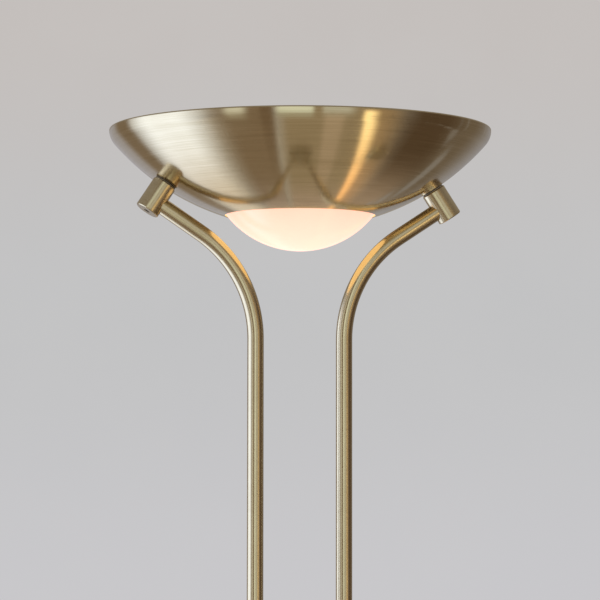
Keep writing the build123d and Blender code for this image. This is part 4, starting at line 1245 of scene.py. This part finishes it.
# far from the lamp the floor takes the wall's colour, so the backdrop has no hard line
away = vectorMath(tree, "MULTIPLY", place, (1.0, 1.0, 0.0))
distance = addNode(tree, "ShaderNodeVectorMath", {0: away}, operation="LENGTH")
faded = remapped(tree, distance.outputs["Value"], *floorLook["fade"])
faded = math(tree, "MULTIPLY", faded, seenDirectly(tree))
farFloor = made(tree, "ShaderNodeEmission", {"Color": wallLook["low"]})
surface = next(node for node in tree.nodes if node.type == "OUTPUT_MATERIAL").inputs["Surface"]
layers = {0: faded, 1: surface.links[0].from_socket, 2: farFloor}
feed(tree, surface, made(tree, "ShaderNodeMixShader", layers))
floorMesh.materials.append(floorMaterial)

softLights = (
    # name, bearing from the camera's side in degrees (+ is right), height, distance, size,
    # watts, colour
    ("windowLight", -78.0, 2.0, 2.6, 1.6, 34.0, (1.0, 0.985, 0.96)),
    ("fillLight", 50.0, 2.3, 3.0, 1.8, 18.0, (1.0, 0.97, 0.93)),
    ("topLight", 170.0, 3.4, 1.6, 1.6, 16.0, (1.0, 0.98, 0.95)),
)
target = Vector((0, 0, 1.2))


def bearing(degreesRight, distance):
    a = radians(degreesRight)
    return (rightward * sin(a) - forward * cos(a)) * distance


for name, turn, height, distance, size, watts, colour in softLights:
    light = bpy.data.lights.new(name, "AREA")
    light.shape = "SQUARE"
    light.size = size
    light.energy = watts
    light.color = colour
    thing = linked(name, light)
    thing.location = bearing(turn, distance) + up * height
    thing.rotation_mode = "QUATERNION"
    thing.rotation_quaternion = (target - thing.location).to_track_quat("-Z", "Y")
    thing.visible_glossy = False
    thing.visible_camera = False

# Cards and flags that only the metal sees. Each one is set out so that the dish shows it to
# the camera between two bearings round its wall, from the upright rim to the open centre.
# span: the two bearings; dips: how far the wall looks down at the card's head and foot;
# soft: shares that fade out at the left, right, foot and head; high, low: the colours there,
# which blend between the two dips of "change"; lean: how far the foot moves to the right
cardColumns = ("span", "dips", "soft", "high", "low", "change", "strength", "lean")
cards = {
    "farLeftWall": (
        (-92, -66), (-30, 82), (0.0, 0.3, 0.03, 0.0),
        (0.44, 0.43, 0.46), (0.5, 0.5, 0.54), (50, 75),
    ),
    "windowEdge": (
        (-75, -59), (-30, 82), (0.4, 0.2, 0.03, 0.0),
        (0.27, 0.21, 0.15), (0.4, 0.35, 0.31), (50, 75),
    ),
    "window": (
        (-64, -25), (-30, 80), (0.34, 0.38, 0.03, 0.0),
        (0.68, 0.78, 1.0), (0.41, 0.385, 0.36), (36, 62), 2.35,
    ),
    "leftFlag": (
        (-31, -7), (-30, 84), (0.45, 0.1, 0.03, 0.0),
        (0.29, 0.22, 0.155), (0.54, 0.46, 0.43), (54, 74),
    ),
    "middleWall": (
        (-8, 38), (-30, 84), (0.1, 0.3, 0.03, 0.0),
        (0.4, 0.325, 0.225), (0.56, 0.45, 0.39), (54, 74),
    ),
    "paleDoor": (
        (6.2, 14.5), (-30, 66), (0.25, 0.3, 0.1, 0.0),
        (0.56, 0.455, 0.345), (0.5, 0.4, 0.3), (30, 60),
    ),
    "darkPost": (
        (-12.5, -7.0), (-30, 60), (0.3, 0.3, 0.3, 0.0),
        (0.22, 0.155, 0.1), (0.22, 0.155, 0.1), (30, 60),
    ),
    "rimPatchFar": (
        (-24, -14.5), (-25, 44), (0.35, 0.35, 0.65, 0.0),
        (0.92, 0.96, 0.9), (0.62, 0.6, 0.5), (0, 26),
    ),
    "rimPatchLeft": (
        (-7.6, 4.6), (-25, 36), (0.15, 0.13, 0.5, 0.0),
        (1.0, 1.1, 1.02), (0.66, 0.7, 0.6), (0, 24), 1.05,
    ),
    "rimPatchRight": (
        (5.6, 17.5), (-25, 34), (0.15, 0.35, 0.5, 0.0),
        (0.7, 0.72, 0.67), (0.62, 0.6, 0.52), (0, 22),
    ),
    "rightWall": (
        (40, 92), (-30, 84), (0.0, 0.0, 0.03, 0.0),
        (0.325, 0.31, 0.315), (0.42, 0.42, 0.45), (50, 72),
    ),
    "rightCurtain": (
        (38, 80), (-30, 84), (0.0, 0.4, 0.03, 0.0),
        (0.205, 0.165, 0.125), (0.4, 0.35, 0.31), (50, 72),
    ),
    "rightFlag": (
        (19, 62), (-30, 84), (0.48, 0.34, 0.03, 0.0),
        (0.12, 0.081, 0.051), (0.47, 0.37, 0.295), (44, 66),
    ),
    "warmFlank": (
        (19.5, 34), (-6, 80), (0.25, 0.68, 0.03, 0.1),
        (0.46, 0.33, 0.2), (0.66, 0.45, 0.29), (40, 64), 1.0, 4.8,
    ),
    "warmStrip": (
        (18.0, 24.6), (-3, 79), (0.28, 0.6, 0.03, 0.18),
        (1.0, 0.8, 0.45), (0.8, 0.47, 0.22), (34, 60), 2.15, 4.8,
    ),
    "ceiling": (
        (-94, 94), (-80, -2), (0.0, 0.0, 0.22, 0.0),
        (0.36, 0.33, 0.29), (0.3, 0.265, 0.22), (-40, -10),
    ),
}
cardStage = {
    "focus": 1.75,
    "reach": 2.9,
    "flattest": 0.2,  # the least share of the reach that lies level
    "floorGap": 0.004,
    "spacing": 0.002,
    "leanFrom": 30,
    "leanOver": 40,
    "columns": 12,
    "rows": 56,
}


def cardMesh(name, card):
    columns, rows = cardStage["columns"], cardStage["rows"]
    focus = up * cardStage["focus"]
    (left, right), (top, bottom) = card["span"], card["dips"]
    toCamera = (-forward - up * sin(shot["pitch"])).normalized()
    places, faces = [], []
    for j in range(rows + 1):
        dip = top + (bottom - top) * j / rows
        shift = card["lean"] * max(0.0, dip - cardStage["leanFrom"]) / cardStage["leanOver"]
        for i in range(columns + 1):
            outwards = bearing(left + shift + (right - left) * i / columns, cos(radians(dip)))
            normal = outwards - up * sin(radians(dip))
            way = 2 * normal.dot(toCamera) * normal - toCamera
            level = sqrt(way.x**2 + way.y**2)
            reach = cardStage["reach"] / max(level, cardStage["flattest"])
            if way.z < 0:
                reach = min(reach, (cardStage["focus"] - cardStage["floorGap"]) / -way.z)
            places.append(focus + way * reach)
    for j in range(rows):
        for i in range(columns):
            a = j * (columns + 1) + i
            faces.append((a, a + 1, a + columns + 2, a + columns + 1))
    mesh = bpy.data.meshes.new(name)
    mesh.from_pydata(places, [], faces)
    layer = mesh.uv_layers.new(name="card")
    for loop in mesh.loops:
        row, column = divmod(loop.vertex_index, columns + 1)
        layer.data[loop.index].uv = (column / columns, row / rows)
    return mesh


def cardMaterial(name, card):
    material = bpy.data.materials.new(name)
    tree = clearedTree(material)
    across, along, _ = separated(tree, made(tree, "ShaderNodeUVMap", uv_map="card"))
    left, right, foot, head = card["soft"]
    mask = remapped(tree, along, 1.0 - foot, 1.0, 1.0, 0.0)
    for soft, value, span in (
        (head, along, (0.0, head, 0.0, 1.0)),
        (left, across, (0.0, left, 0.0, 1.0)),
        (right, across, (1.0 - right, 1.0, 1.0, 0.0)),
    ):
        if soft:
            mask = math(tree, "MULTIPLY", mask, remapped(tree, value, *span))
    material.cycles.emission_sampling = "NONE"
    top, bottom = card["dips"]
    change = [(dip - top) / (bottom - top) for dip in card["change"]]
    colour = mixedColour(tree, remapped(tree, along, *change), card["high"], card["low"])
    inputs = {"Color": colour, "Strength": card["strength"]}
    glow = made(tree, "ShaderNodeEmission", inputs)
    layers = {0: mask, 1: made(tree, "ShaderNodeBsdfTransparent"), 2: glow}
    mixed = made(tree, "ShaderNodeMixShader", layers)
    addNode(tree, "ShaderNodeOutputMaterial", {"Surface": mixed})
    return material


for order, (name, values) in enumerate(cards.items()):
    look = {"strength": 1.0, "lean": 0.0, **dict(zip(cardColumns, values))}
    mesh = cardMesh(name, look)
    mesh.materials.append(cardMaterial(name, look))
    # later cards stand a little nearer, in front of the ones before them
    focus = up * cardStage["focus"]
    nearer = Matrix.Scale(1 - cardStage["spacing"] * order, 4)
    mesh.transform(Matrix.Translation(focus) @ nearer @ Matrix.Translation(-focus))
    card = linked(name, mesh)
    card.visible_camera = card.visible_diffuse = card.visible_transmission = False
    card.visible_shadow = card.visible_volume_scatter = False
print("studio lit")

bpy.context.scene.view_settings.view_transform = "Standard"
